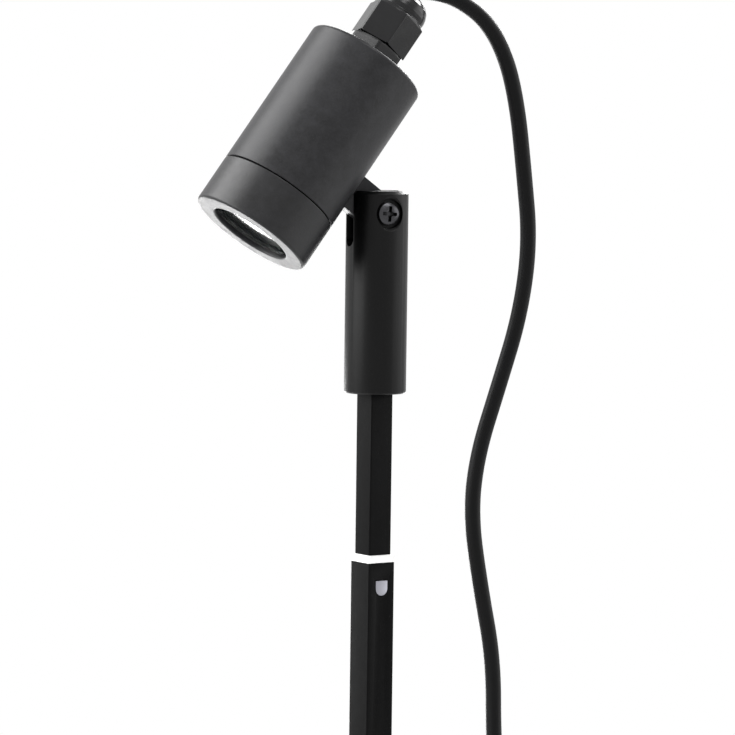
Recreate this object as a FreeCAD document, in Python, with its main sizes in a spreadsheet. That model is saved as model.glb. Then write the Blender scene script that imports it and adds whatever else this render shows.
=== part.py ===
"""Garden spike spotlight: a tilting lamp head in a slotted stem, on a two-piece square pole with a point.

Millimetres, +Z up. The origin is the tip of the spike, and the pole stands on it along Z.
The head turns on a screw along Y and points towards -X and down. Its lead leaves the gland at the
back of the head, hangs down the +X side of the pole and ends in a coil and a plug.
"""
import FreeCAD, Part
import Sketcher
import math
import os

Vector = FreeCAD.Vector
Rotation = FreeCAD.Rotation
Placement = FreeCAD.Placement

sizeList = {
    # lamp head, measured along its own axis from the front face
    "headRadius": 30.0,
    "housingLength": 77.5,
    "housingWall": 3.0,
    "housingBackWall": 4.0,
    "housingRimChamfer": 0.8,
    "bezelLength": 24.0,
    "bezelFrontWall": 2.4,
    "bezelEdgeRound": 1.5,
    "seamGap": 0.5,
    "seamChamfer": 0.3,
    "windowLip": 10.0,
    "windowChamfer": 0.8,
    "bezelWall": 2.5,
    "neckWall": 2.0,
    "threadClearance": 0.2,
    "bezelPitch": 2.0,
    "glassThickness": 4.0,
    "glassChamfer": 0.5,
    "gasketLip": 0.8,
    "gasketWall": 1.2,
    "gasketRoom": 1.1,
    "gasketGrip": 1.6,
    "slipGap": 0.1,
    "seatGap": 0.3,
    "oRingThickness": 1.8,
    "oRingStand": 3.0,
    # lamp, lamp holder and wiring inside the head
    "lampRimDepth": 3.0,
    "lampCoverThickness": 1.2,
    "lampConeDepth": 31.0,
    "lampNeckRadius": 14.5,
    "lampBaseRadius": 12.0,
    "lampInset": 0.8,
    "lampPinRadius": 1.5,
    "lampPinHeadRadius": 2.4,
    "lampPinHeadDepth": 2.4,
    "lampPinLength": 7.5,
    "lampPinSpacing": 10.0,
    "holderRadius": 15.5,
    "holderDepth": 14.5,
    "holderGap": 0.5,
    "bracketThickness": 1.5,
    "bracketWidth": 14.0,
    "bracketRoom": 4.4,
    "bracketFoot": 7.5,
    "smallScrewRadius": 1.5,
    "smallScrewHeadRadius": 2.8,
    "smallScrewHead": 1.8,
    "smallScrewLength": 8.0,
    "footScrewLength": 4.6,
    "holderScrewSpacing": 16.0,
    "blockWidth": 30.0,
    "blockDepth": 13.0,
    "blockThickness": 12.0,
    "blockSetback": 3.5,
    "wiringSpace": 2.0,
    "coreRadius": 1.1,
    "coreSpread": 2.4,
    "coreBend": 3.0,
    "terminalSpacing": 9.0,
    "earthScrewReach": 18.5,
    # cable gland
    "glandThreadRadius": 10.0,
    "glandThreadLength": 10.0,
    "glandAcrossFlats": 26.0,
    "glandWasherThickness": 1.2,
    "glandWasherRadius": 12.6,
    "glandHexHeight": 7.6,
    "glandNutGap": 0.9,
    "glandNutHex": 17.6,
    "glandDomeHeight": 11.6,
    "glandDomeShoulder": 5.4,
    "glandDomeRadius": 11.9,
    "glandMouthRadius": 5.8,
    "glandMouthBore": 5.0,
    "glandMouthWall": 1.6,
    "glandHexChamfer": 0.7,
    "glandSpigotInset": 0.2,
    "glandSpigotWall": 1.4,
    "glandBodyAngle": 8.0,
    "glandNutAngle": 21.0,
    "clawWall": 1.2,
    "clawSlot": 1.0,
    "clawSlotLength": 11.5,
    "locknutThickness": 5.0,
    "locknutAcrossFlats": 24.0,
    "locknutAngle": 30.0,
    # hinge
    "tongueWidth": 18.0,
    "tongueThickness": 7.0,
    "tongueReach": 18.4,
    "tongueSeat": 0.05,
    "tongueScrewRadius": 2.0,
    "tongueScrewHeadRadius": 3.8,
    "tongueScrewHead": 2.0,
    "tongueScrewLength": 9.0,
    "tongueScrewSpacing": 9.5,
    "pivotBack": 47.7,
    "headLeanAngle": 36.3,
    "hingeWasherRadius": 8.5,
    "hingeWasherThickness": 0.25,
    "faceClearance": 0.025,
    "pivotScrewRadius": 3.0,
    "pivotClearance": 0.05,
    "pivotHeadRadius": 5.35,
    "pivotHeadDepth": 2.9,
    "pivotHeadDome": 1.0,
    "crossWidth": 1.6,
    "crossLength": 7.4,
    "crossDepth": 2.0,
    "crossAngle": 4.0,
    "crossMouthRadius": 2.0,
    "crossTipRadius": 0.9,
    "recessRadius": 7.0,
    "recessDepth": 4.0,
    "recessBevel": 0.7,
    "pivotNutAcrossFlats": 10.0,
    "pivotNutThickness": 4.0,
    # stem
    "stemRadius": 15.0,
    "stemLength": 97.4,
    "stemTopChamfer": 1.5,
    "stemFootChamfer": 0.8,
    "pivotBelowTop": 10.8,
    "slotBelowPivot": 16.0,
    "studRadius": 4.0,
    "studInStem": 16.0,
    "studInBar": 14.0,
    "threadFit": 0.05,
    # square pole
    "barSide": 12.7,
    "barWall": 1.2,
    "barCorner": 0.8,
    "barShowing": 78.2,
    "barInsertLength": 20.0,
    "poleTurnAngle": 8.0,
    "collarHeight": 3.6,
    "collarEdge": 0.4,
    "plugFit": 0.1,
    "upperSpigot": 28.0,
    "lowerSpigot": 42.0,
    "spigotWall": 2.0,
    "tubeSide": 15.2,
    "tubeWall": 1.5,
    "tubeCorner": 0.6,
    "tubeLength": 231.7,
    "buttonWidth": 6.7,
    "buttonHeight": 7.2,
    "buttonBelowTop": 12.3,
    "buttonProud": 0.4,
    "buttonFlange": 1.0,
    "buttonFlangeLip": 1.0,
    "buttonClearance": 0.15,
    "springWidth": 5.0,
    "springThickness": 0.4,
    "pointLength": 60.0,
    "pointTipSide": 1.6,
    "pointPlug": 20.0,
    # lead
    "cableRadius": 3.9,
    "gripGap": 0.05,
    "exitInset": 3.6,
    "exitRun": 4.6,
    "coilRadius": 46.0,
    "coilPitch": 8.5,
    "coilLayerTurns": 1.75,
    "coilX": 130.0,
    "coilY": 12.0,
    "tieThickness": 0.9,
    "tieGap": 0.45,
    "tieWidth": 8.0,
    "tieTurns": 0.25,
    "leastCoilGap": 0.4,
    "leadTail": 68.0,
    "tailRun": 18.0,
    # plug
    "plugRadius": 18.6,
    "plugFaceDepth": 17.0,
    "plugGripRadius": 12.5,
    "plugGripLength": 22.0,
    "plugFaceRound": 2.0,
    "reliefRadius": 7.2,
    "reliefEndRadius": 5.0,
    "reliefLength": 24.0,
    "reliefHold": 12.0,
    "reliefGroove": 0.6,
    "pinRadius": 2.4,
    "pinLength": 19.0,
    "pinRound": 1.2,
    "pinSpacing": 19.0,
    "pinInset": 8.0,
    "pinRootRadius": 2.0,
    "contactWidth": 6.0,
    "contactThickness": 1.0,
    "contactLength": 13.0,
    "contactProud": 0.3,
}

doc = FreeCAD.newDocument("GardenSpikeSpotlight")
sheet = doc.addObject("Spreadsheet::Sheet", "Sizes")
for row, (alias, number) in enumerate(sizeList.items(), start=1):
    sheet.set(f"A{row}", alias)
    sheet.set(f"B{row}", str(number))
    sheet.setAlias(f"B{row}", alias)
doc.recompute()


class Size:
    """A dimension: its value, and the spreadsheet expression that it follows."""

    def __init__(self, value, text):
        self.value = value
        self.text = text

    def __add__(self, other):
        other = asSize(other)
        return Size(self.value + other.value, f"({self.text} + {other.text})")

    def __sub__(self, other):
        other = asSize(other)
        return Size(self.value - other.value, f"({self.text} - {other.text})")

    def __mul__(self, other):
        other = asSize(other)
        return Size(self.value * other.value, f"({self.text} * {other.text})")

    def __truediv__(self, other):
        other = asSize(other)
        return Size(self.value / other.value, f"({self.text} / {other.text})")

    def __neg__(self):
        return Size(-self.value, f"(-1 * {self.text})")

    def __radd__(self, other):
        return asSize(other) + self

    def __rsub__(self, other):
        return asSize(other) - self


def asSize(number):
    return number if isinstance(number, Size) else Size(float(number), repr(float(number)))


def get(alias):
    return Size(float(sheet.get(alias)), f"Sizes.{alias}")


def bind(thing, **properties):
    """Ties each named property to a size."""
    for name, length in properties.items():
        thing.setExpression(name, asSize(length).text)
    return thing


subParts = []


def subPart(thing, label, place=None):
    """Names a finished piece, puts it in its place and lists it for export."""
    thing.Label = label
    if place is not None:
        thing.Placement = place
    subParts.append(thing)
    return thing


def originPlane(body, role):
    return [feature for feature in body.Origin.OriginFeatures if feature.Role == role][0]


def newBody(name):
    return doc.addObject("PartDesign::Body", name)


def arcThrough(start, end, radius, left):
    """The arc of a given radius from start to end, bulging to the left of that way, or to the right."""
    chord = end - start
    half = chord.Length / 2
    rise = math.sqrt(max(radius * radius - half * half, 0))
    side = Vector(-chord.y, chord.x, 0).normalize()
    if not left:
        side = side * -1
    middle = (start + end) / 2 + side * (radius - rise)
    return Part.Arc(start, middle, end)


def closedSketch(body, role, loops, name="Profile"):
    """A sketch on an origin plane of closed loops. A corner is (x, y), or (x, y, radius, side) where the edge
    to the next corner is an arc that bulges to that side."""
    sketch = body.newObject("Sketcher::SketchObject", name)
    sketch.AttachmentSupport = [(originPlane(body, role), "")]
    sketch.MapMode = "FlatFace"
    for loop in loops:
        corners = [(asSize(corner[0]), asSize(corner[1])) for corner in loop]
        spots = [Vector(x.value, y.value, 0) for x, y in corners]
        ends = []
        for index, corner in enumerate(loop):
            start = spots[index]
            end = spots[(index + 1) % len(loop)]
            if len(corner) == 2:
                edge = sketch.addGeometry(Part.LineSegment(start, end), False)
                ends.append((edge, 1, 2))
                continue
            radius = asSize(corner[2])
            edge = sketch.addGeometry(arcThrough(start, end, radius.value, corner[3] == "left"), False)
            forward = (sketch.getPoint(edge, 1) - start).Length < (sketch.getPoint(edge, 2) - start).Length
            ends.append((edge, 1, 2) if forward else (edge, 2, 1))
            bent = sketch.addConstraint(Sketcher.Constraint("Radius", edge, radius.value))
            sketch.setExpression(f"Constraints[{bent}]", radius.text)
        for index, (edge, first, last) in enumerate(ends):
            following, nextFirst, nextLast = ends[(index + 1) % len(ends)]
            sketch.addConstraint(Sketcher.Constraint("Coincident", edge, last, following, nextFirst))
            for direction, length in zip(("DistanceX", "DistanceY"), corners[index]):
                held = sketch.addConstraint(
                    Sketcher.Constraint(direction, -1, 1, edge, first, length.value))
                sketch.setExpression(f"Constraints[{held}]", length.text)
    return sketch


def turned(name, *loops):
    """A piece turned about its own Z axis, from loops of (radius, height)."""
    body = newBody(name)
    sketch = closedSketch(body, "XZ_Plane", loops)
    turn = body.newObject("PartDesign::Revolution", "Turn")
    turn.Profile = sketch
    turn.ReferenceAxis = (sketch, ["V_Axis"])
    turn.Angle = 360
    return body


def padded(name, role, loops, length, symmetric=False):
    """A piece padded from loops on one of its origin planes."""
    body = newBody(name)
    sketch = closedSketch(body, role, loops)
    pad = body.newObject("PartDesign::Pad", "Pad")
    pad.Profile = sketch
    if symmetric:
        pad.SideType = "Symmetric"
    bind(pad, Length=length)
    return body


def roundedSquare(side, corner):
    """The corners of a square with rounded edges, centred on the origin, anticlockwise."""
    half = side / 2
    near = half - corner
    return [
        (-near, -half), (near, -half, corner, "right"),
        (half, -near), (half, near, corner, "right"),
        (near, half), (-near, half, corner, "right"),
        (-half, near), (-half, -near, corner, "right"),
    ]


def rectangle(left, bottom, right, top):
    return [(left, bottom), (right, bottom), (right, top), (left, top)]


def squareLoop(side):
    half = side / 2
    return rectangle(-half, -half, half, half)


def cylinder(name, radius, height, place=None):
    tool = bind(doc.addObject("Part::Cylinder", name), Radius=radius, Height=height)
    if place is not None:
        tool.Placement = place
    return tool


def cone(name, lower, upper, height, place=None):
    tool = bind(doc.addObject("Part::Cone", name), Radius1=lower, Radius2=upper, Height=height)
    if place is not None:
        tool.Placement = place
    return tool


def box(name, length, width, height, place=None):
    """A box centred on its own Z axis, in X and Y."""
    tool = bind(doc.addObject("Part::Box", name), Length=length, Width=width, Height=height)
    centre = Vector(-asSize(length).value / 2, -asSize(width).value / 2, 0)
    tool.Placement = (place or Placement()).multiply(Placement(centre, Rotation()))
    return tool


def hexagon(name, acrossFlats, height, turn, z):
    """A hexagonal prism standing on height z, turned in degrees."""
    tool = doc.addObject("Part::Prism", name)
    tool.Polygon = 6
    bind(tool, Circumradius=acrossFlats / (2 * math.cos(math.radians(30))), Height=height)
    tool.Placement = Placement(Vector(0, 0, z.value), Rotation(Vector(0, 0, 1), turn.value))
    return tool


def common(name, base, tool):
    both = doc.addObject("Part::Common", name)
    both.Base = base
    both.Tool = tool
    return both


def cut(name, base, *tools):
    """base less each tool."""
    result = base
    for index, tool in enumerate(tools):
        less = doc.addObject("Part::Cut", f"{name}Cut{index}")
        less.Base = result
        less.Tool = tool
        result = less
    return result


def fuse(name, *shapes):
    whole = doc.addObject("Part::MultiFuse", name)
    whole.Shapes = list(shapes)
    return whole


def at(x=0.0, y=0.0, z=0.0, axis=None, angle=0.0):
    """A placement from sizes or numbers, with an optional turn."""
    spot = Vector(asSize(x).value, asSize(y).value, asSize(z).value)
    return Placement(spot, Rotation(axis or Vector(0, 0, 1), asSize(angle).value))


overshoot = 1.0
xAxis = Vector(1, 0, 0)
yAxis = Vector(0, 1, 0)
zAxis = Vector(0, 0, 1)

# ---------------------------------------------------------------- heights up the pole and places
pointTop = get("pointLength")
tubeTop = pointTop + get("tubeLength")
collarTop = tubeTop + get("collarHeight")
stemFoot = collarTop + get("barShowing")
stemTop = stemFoot + get("stemLength")
pivotHeight = stemTop - get("pivotBelowTop")
pivotOffset = get("headRadius") + get("tongueReach")

poleFrame = at(angle=get("poleTurnAngle"))
pivotFrame = at(z=pivotHeight)
leanFrame = pivotFrame.multiply(at(axis=yAxis, angle=get("headLeanAngle")))
headFrame = leanFrame.multiply(at(x=-pivotOffset, z=-get("pivotBack")))

# along the head's axis, from the front face
shoulder = get("bezelLength") + get("seamGap")
headBack = shoulder + get("housingLength")
gasketFront = get("bezelFrontWall") + get("slipGap")
glassFront = gasketFront + get("gasketLip")
gasketBack = glassFront + get("glassThickness") + get("gasketLip")
neckFront = gasketBack + get("seatGap")
backWallFront = headBack - get("housingBackWall")
cavityRadius = get("headRadius") - get("housingWall")
windowRadius = get("headRadius") - get("windowLip")
bezelBore = get("headRadius") - get("bezelWall")
neckRadius = bezelBore - get("threadClearance")
neckBore = neckRadius - get("neckWall")
lampRadius = neckBore - get("seatGap") * 2
glassRadius = bezelBore - get("gasketRoom") - get("gasketWall")

# ---------------------------------------------------------------- head: shells and glass


def buildHousing():
    """The turned housing: a shell with a threaded neck for the bezel, a back wall with the gland's hole,
    and the holes for the hinge tongue's screws and the holder bracket's."""
    rim = get("housingRimChamfer")
    edge = get("seamChamfer")
    step = shoulder + get("housingWall")
    grooveLow = shoulder - get("oRingStand") - get("oRingThickness")
    grooveHigh = shoulder - get("oRingStand")
    grooveFloor = bezelBore - get("oRingThickness")
    outer = get("headRadius")
    shell = turned("HousingShell", [
        (neckBore, neckFront), (neckRadius, neckFront),
        (neckRadius, grooveLow), (grooveFloor, grooveLow), (grooveFloor, grooveHigh), (neckRadius, grooveHigh),
        (neckRadius, shoulder), (outer - edge, shoulder), (outer, shoulder + edge),
        (outer, headBack - rim), (outer - rim, headBack),
        (get("glandThreadRadius") + get("threadFit"), headBack),
        (get("glandThreadRadius") + get("threadFit"), backWallFront),
        (cavityRadius, backWallFront), (cavityRadius, step), (neckBore, step),
    ])
    holes = []
    for side in (-1, 1):
        z = get("pivotBack") + get("tongueScrewSpacing") / 2 * side
        holes.append(cylinder("TongueHole", get("tongueScrewRadius") + get("threadFit"),
                              get("housingWall") + overshoot * 2,
                              at(x=cavityRadius - overshoot, z=z, axis=yAxis, angle=90)))
        holes.append(cylinder("FootHole", get("smallScrewRadius") + get("threadFit"),
                              get("footScrewLength") - get("bracketThickness") + get("threadFit") + overshoot,
                              at(x=footCentre * side, z=backWallFront - overshoot)))
    holes.append(cylinder("EarthHole", get("smallScrewRadius") + get("threadFit"),
                          get("footScrewLength") - get("bracketThickness") + get("threadFit") + overshoot,
                          at(y=get("earthScrewReach"), z=backWallFront - overshoot)))
    subPart(cut("Housing", shell, fuse("HousingHoles", *holes)), "head_housing", headFrame)


bracketHalf = cavityRadius - get("bracketRoom")
footCentre = bracketHalf - get("bracketThickness") - get("seatGap") - get("smallScrewHeadRadius")


def buildBezel():
    """The screw-on bezel ring with its window, and the glass in its U-shaped gasket behind it."""
    bevel = get("windowChamfer")
    outer = get("headRadius")
    edge = get("seamChamfer")
    rounding = get("bezelEdgeRound")
    front = asSize(0)
    ring = turned("BezelTurned", [
        (windowRadius + bevel, front), (outer - rounding, front, rounding, "right"),
        (outer, rounding), (outer, get("bezelLength") - edge), (outer - edge, get("bezelLength")),
        (bezelBore, get("bezelLength")), (bezelBore, get("bezelFrontWall")),
        (windowRadius, get("bezelFrontWall")), (windowRadius, bevel),
    ])
    subPart(ring, "bezel_ring", headFrame)
    soft = get("glassChamfer")
    radius = glassRadius
    back = glassFront + get("glassThickness")
    glass = turned("Glass", [
        (0, glassFront), (radius - soft, glassFront), (radius, glassFront + soft),
        (radius, back - soft), (radius - soft, back), (0, back),
    ])
    subPart(glass, "front_glass", headFrame)
    outside = radius + get("gasketWall")
    inside = radius - get("gasketGrip")
    gasket = turned("Gasket", [
        (inside, gasketFront), (outside, gasketFront), (outside, gasketBack), (inside, gasketBack),
        (inside, back), (radius - soft, back), (radius, back - soft),
        (radius, glassFront + soft), (radius - soft, glassFront), (inside, glassFront),
    ])
    subPart(gasket, "glass_gasket", headFrame)


def buildORing():
    """The O-ring in the neck's groove, just clear of the bezel's bore."""
    thick = get("oRingThickness") - get("slipGap") * 2
    middle = bezelBore - get("oRingThickness") / 2
    ring = doc.addObject("Part::Torus", "ORing")
    bind(ring, Radius1=middle, Radius2=thick / 2)
    z = shoulder - get("oRingStand") - get("oRingThickness") / 2
    subPart(ring, "housing_o_ring", headFrame.multiply(at(z=z)))


# ---------------------------------------------------------------- head: lamp, holder and wiring

lampFront = neckFront + get("lampInset")
blockFront = headBack - get("glandThreadLength") - get("wiringSpace") - get("blockDepth")
plateBack = blockFront - get("blockSetback")
holderBack = plateBack - get("bracketThickness")
holderFront = holderBack - get("holderDepth")
lampBack = holderFront - get("holderGap")
legFace = get("bracketThickness") - bracketHalf
blockFace = legFace + get("blockThickness")


def buildLamp():
    """A pin-base reflector lamp: flared shell with a stepped base, a clear cover and two mushroom pins."""
    cover = get("lampCoverThickness")
    rim = lampRadius
    neck = get("lampNeckRadius")
    base = get("lampBaseRadius")
    flare = lampFront + get("lampRimDepth")
    coneBack = flare + get("lampConeDepth")
    shell = turned("LampShell", [
        (0, lampFront + cover), (rim - cover, lampFront + cover), (rim - cover, lampFront), (rim, lampFront),
        (rim, flare), (rim - cover, flare), (neck, coneBack), (base, coneBack), (base, lampBack), (0, lampBack),
    ])
    subPart(shell, "lamp_body", headFrame)
    lens = turned("LampCover", rectangle(
        asSize(0), lampFront, rim - cover - get("slipGap"), lampFront + cover))
    subPart(lens, "lamp_cover", headFrame)
    radius = get("lampPinRadius")
    head = get("lampPinHeadRadius")
    length = get("lampPinLength")
    headStart = length - get("lampPinHeadDepth")
    pins = []
    for side in (-1, 1):
        pin = turned("LampPin", [
            (0, 0), (radius, 0), (radius, headStart), (head, headStart), (head, length), (0, length),
        ])
        pin.Placement = at(y=get("lampPinSpacing") / 2 * side, z=lampBack)
        pins.append(pin)
    subPart(fuse("LampPins", *pins), "lamp_pins", headFrame)


def buildHolder():
    """The ceramic holder that takes the lamp's pins, on a bent strip with two feet on the back wall."""
    block = turned("HolderBlock", rectangle(asSize(0), holderFront, get("holderRadius"), holderBack))
    holes = []
    depth = get("lampPinLength") - get("holderGap") + get("seatGap")
    for side in (-1, 1):
        holes.append(cylinder("PinHole", get("lampPinHeadRadius") + get("slipGap"), depth + overshoot,
                              at(y=get("lampPinSpacing") / 2 * side, z=holderFront - overshoot)))
        holes.append(cylinder("HolderHole", get("smallScrewRadius") + get("threadFit"),
                              get("smallScrewLength") - get("bracketThickness") + get("threadFit") + overshoot,
                              at(x=get("holderScrewSpacing") / 2 * side, z=holderBack + overshoot,
                                 axis=xAxis, angle=180)))
    subPart(cut("Holder", block, fuse("HolderHoles", *holes)), "lamp_holder", headFrame)

    wall = get("bracketThickness")
    half = bracketHalf
    inner = half - wall
    foot = get("bracketFoot")
    footBack = backWallFront
    footFront = backWallFront - wall
    strip = padded("BracketStrip", "XZ_Plane", [[
        (-half, holderBack), (half, holderBack), (half, footBack), (half - foot, footBack),
        (half - foot, footFront), (inner, footFront), (inner, plateBack),
        (-inner, plateBack), (-inner, footFront), (-half + foot, footFront),
        (-half + foot, footBack), (-half, footBack),
    ]], get("bracketWidth"), symmetric=True)
    openings = []
    for side in (-1, 1):
        openings.append(cylinder("PlateHole", get("smallScrewRadius") + get("threadFit"), wall + overshoot * 2,
                                 at(x=get("holderScrewSpacing") / 2 * side, z=holderBack - overshoot)))
        openings.append(cylinder("FootOpening", get("smallScrewRadius") + get("threadFit"),
                                 wall + overshoot * 2, at(x=footCentre * side, z=footFront - overshoot)))
    subPart(cut("Bracket", strip, fuse("BracketHoles", *openings)), "holder_bracket", headFrame)


def panScrew(name, radius, length, headRadius, headDepth, place):
    """A pan-head screw: its head's seat at the placement's origin, its shank along +Z."""
    soft = headDepth / 3
    screw = turned(name, [
        (0, -headDepth), (headRadius - soft, -headDepth), (headRadius, -headDepth + soft),
        (headRadius, 0), (radius, 0), (radius, length - soft), (radius - soft, length), (0, length),
    ])
    screw.Placement = place
    return screw


def buildInnerScrews():
    """Two screws hold the holder to its bracket, two hold the feet and one the earth core to the back wall."""
    holderScrews = []
    footScrews = []
    small = (get("smallScrewHeadRadius"), get("smallScrewHead"))
    footFront = backWallFront - get("bracketThickness")
    for side in (-1, 1):
        holderScrews.append(panScrew(
            "HolderScrew", get("smallScrewRadius"), get("smallScrewLength"), *small,
            at(x=get("holderScrewSpacing") / 2 * side, z=plateBack, axis=xAxis, angle=180)))
        footScrews.append(panScrew(
            "FootScrew", get("smallScrewRadius"), get("footScrewLength"), *small,
            at(x=footCentre * side, z=footFront)))
    subPart(fuse("HolderScrews", *holderScrews), "holder_screws", headFrame)
    subPart(fuse("FootScrews", *footScrews), "bracket_screws", headFrame)
    lug = turned("EarthLug", rectangle(
        get("smallScrewRadius") + get("threadFit"), -get("bracketThickness"),
        get("smallScrewHeadRadius") + get("seatGap"), asSize(0)))
    earth = panScrew("EarthScrew", get("smallScrewRadius"), get("footScrewLength"), *small,
                     at(z=-get("bracketThickness")))
    subPart(fuse("EarthScrewAndLug", lug, earth), "earth_screw",
            headFrame.multiply(at(y=get("earthScrewReach"), z=backWallFront)))


def buildTerminalBlock():
    """The terminal block on the bracket's leg, with three screw wells in its top."""
    centre = legFace + get("blockThickness") / 2
    body = box("BlockBody", get("blockThickness"), get("blockWidth"), get("blockDepth"))
    wells = []
    for pole in (-1, 0, 1):
        wells.append(cylinder("Well", get("smallScrewHeadRadius"), get("blockDepth") / 3 + overshoot,
                              at(y=get("terminalSpacing") * pole, z=get("blockDepth") * 2 / 3)))
    block = cut("Block", body, fuse("Wells", *wells))
    subPart(block, "terminal_block", headFrame.multiply(at(x=centre, z=blockFront)))


def runLengths(points):
    return [(points[i + 1] - points[i]).Length for i in range(len(points) - 1)]


def turnAt(points, index):
    """The angle that the route turns by at one of its points, in radians."""
    return (points[index] - points[index - 1]).getAngle(points[index + 1] - points[index])


def routeEdges(points, share=0.45, radii=None):
    """Straight runs joined by tangent arcs, each as large as its two runs allow."""
    runs = runLengths(points)
    edges = []
    start = points[0]
    for index in range(1, len(points) - 1):
        half = turnAt(points, index) / 2
        back = share * min(runs[index - 1], runs[index])
        radius = back / math.tan(half)
        if radii is not None:
            radii.append(radius)
        toward = (points[index - 1] - points[index]).normalize()
        onward = (points[index + 1] - points[index]).normalize()
        arcStart = points[index] + toward * back
        arcEnd = points[index] + onward * back
        inward = (toward + onward).normalize()
        middle = points[index] + inward * (radius / math.cos(half) - radius)
        edges.append(Part.LineSegment(start, arcStart).toShape())
        edges.append(Part.Arc(arcStart, middle, arcEnd).toShape())
        start = arcEnd
    edges.append(Part.LineSegment(start, points[-1]).toShape())
    return edges


def sweptTube(edges, radius, label, tell=True):
    """A round tube along tangent edges. Its volume is compared with its section times its length."""
    wire = Part.Wire(edges)
    first = edges[0]
    direction = first.tangentAt(first.FirstParameter)
    start = first.valueAt(first.FirstParameter)
    ring = Part.Wire([Part.Circle(start, direction, radius).toShape()])
    solid = wire.makePipeShell([ring], True, False)
    expected = math.pi * radius * radius * wire.Length
    if abs(solid.Volume - expected) > 0.01 * expected:
        raise ValueError(f"{label}: the tube holds {solid.Volume:.0f} mm3, not {expected:.0f}")
    if tell:
        print(f"{label}: length {wire.Length:.1f} mm, volume {solid.Volume / expected:.4f} of section x length")
    return solid


def shapeFeature(name, shape, label, place=None):
    """A sub-part whose shape is worked out here. Its placement comes after its shape."""
    feature = doc.addObject("Part::Feature", name)
    feature.Shape = shape
    return subPart(feature, label, place)


def buildCores():
    """The three cores of the lead, from its stripped end to two terminals and the earth screw,
    and the two leads from the block to the holder."""
    radius = get("coreRadius").value
    spread = get("coreSpread").value
    bend = get("coreBend").value
    level = (blockFront + get("blockDepth") / 2).value
    jacketEnd = cableInnerEnd.value
    terminal = get("terminalSpacing").value
    for name, turn, side in (("core_brown", 240, -1), ("core_blue", 120, 1)):
        x = spread * math.cos(math.radians(turn))
        y = spread * math.sin(math.radians(turn))
        route = [Vector(x, y, jacketEnd), Vector(x, y, level), Vector(x, terminal * side, level),
                 Vector(blockFace.value, terminal * side, level)]
        shapeFeature(name, sweptTube(routeEdges(route), radius, name, tell=False), name, headFrame)
    reach = get("earthScrewReach").value
    screwTop = (backWallFront - get("bracketThickness") - get("smallScrewHead")).value
    route = [Vector(spread, 0, jacketEnd), Vector(spread, 0, jacketEnd - bend * 2),
             Vector(0, reach, jacketEnd - bend * 2), Vector(0, reach, screwTop)]
    shapeFeature("CoreEarth", sweptTube(routeEdges(route), radius, "core_earth", tell=False),
                 "core_earth", headFrame)
    leads = []
    for side in (-1, 1):
        across = get("bracketWidth") / 2 + get("coreRadius") + get("seatGap")
        inward = blockFace - get("coreRadius") - get("seatGap")
        leads.append(cylinder("HolderLead", get("coreRadius"), blockFront - holderBack,
                              at(x=inward, y=across * side, z=holderBack)))
    subPart(fuse("HolderLeads", *leads), "holder_leads", headFrame)


# ---------------------------------------------------------------- head: gland

glandSeat = headBack + get("glandWasherThickness")
glandHexTop = glandSeat + get("glandHexHeight")
nutFoot = glandHexTop + get("glandNutGap")
nutShoulder = nutFoot + get("glandNutHex")
glandTip = nutShoulder + get("glandDomeHeight")
spigotRadius = get("glandThreadRadius") - get("glandSpigotInset")
clawRadius = spigotRadius - get("glandSpigotWall")
cableInnerEnd = headBack - get("glandThreadLength") - get("cableRadius") / 2
throat = get("cableRadius") + get("clawWall")


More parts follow.
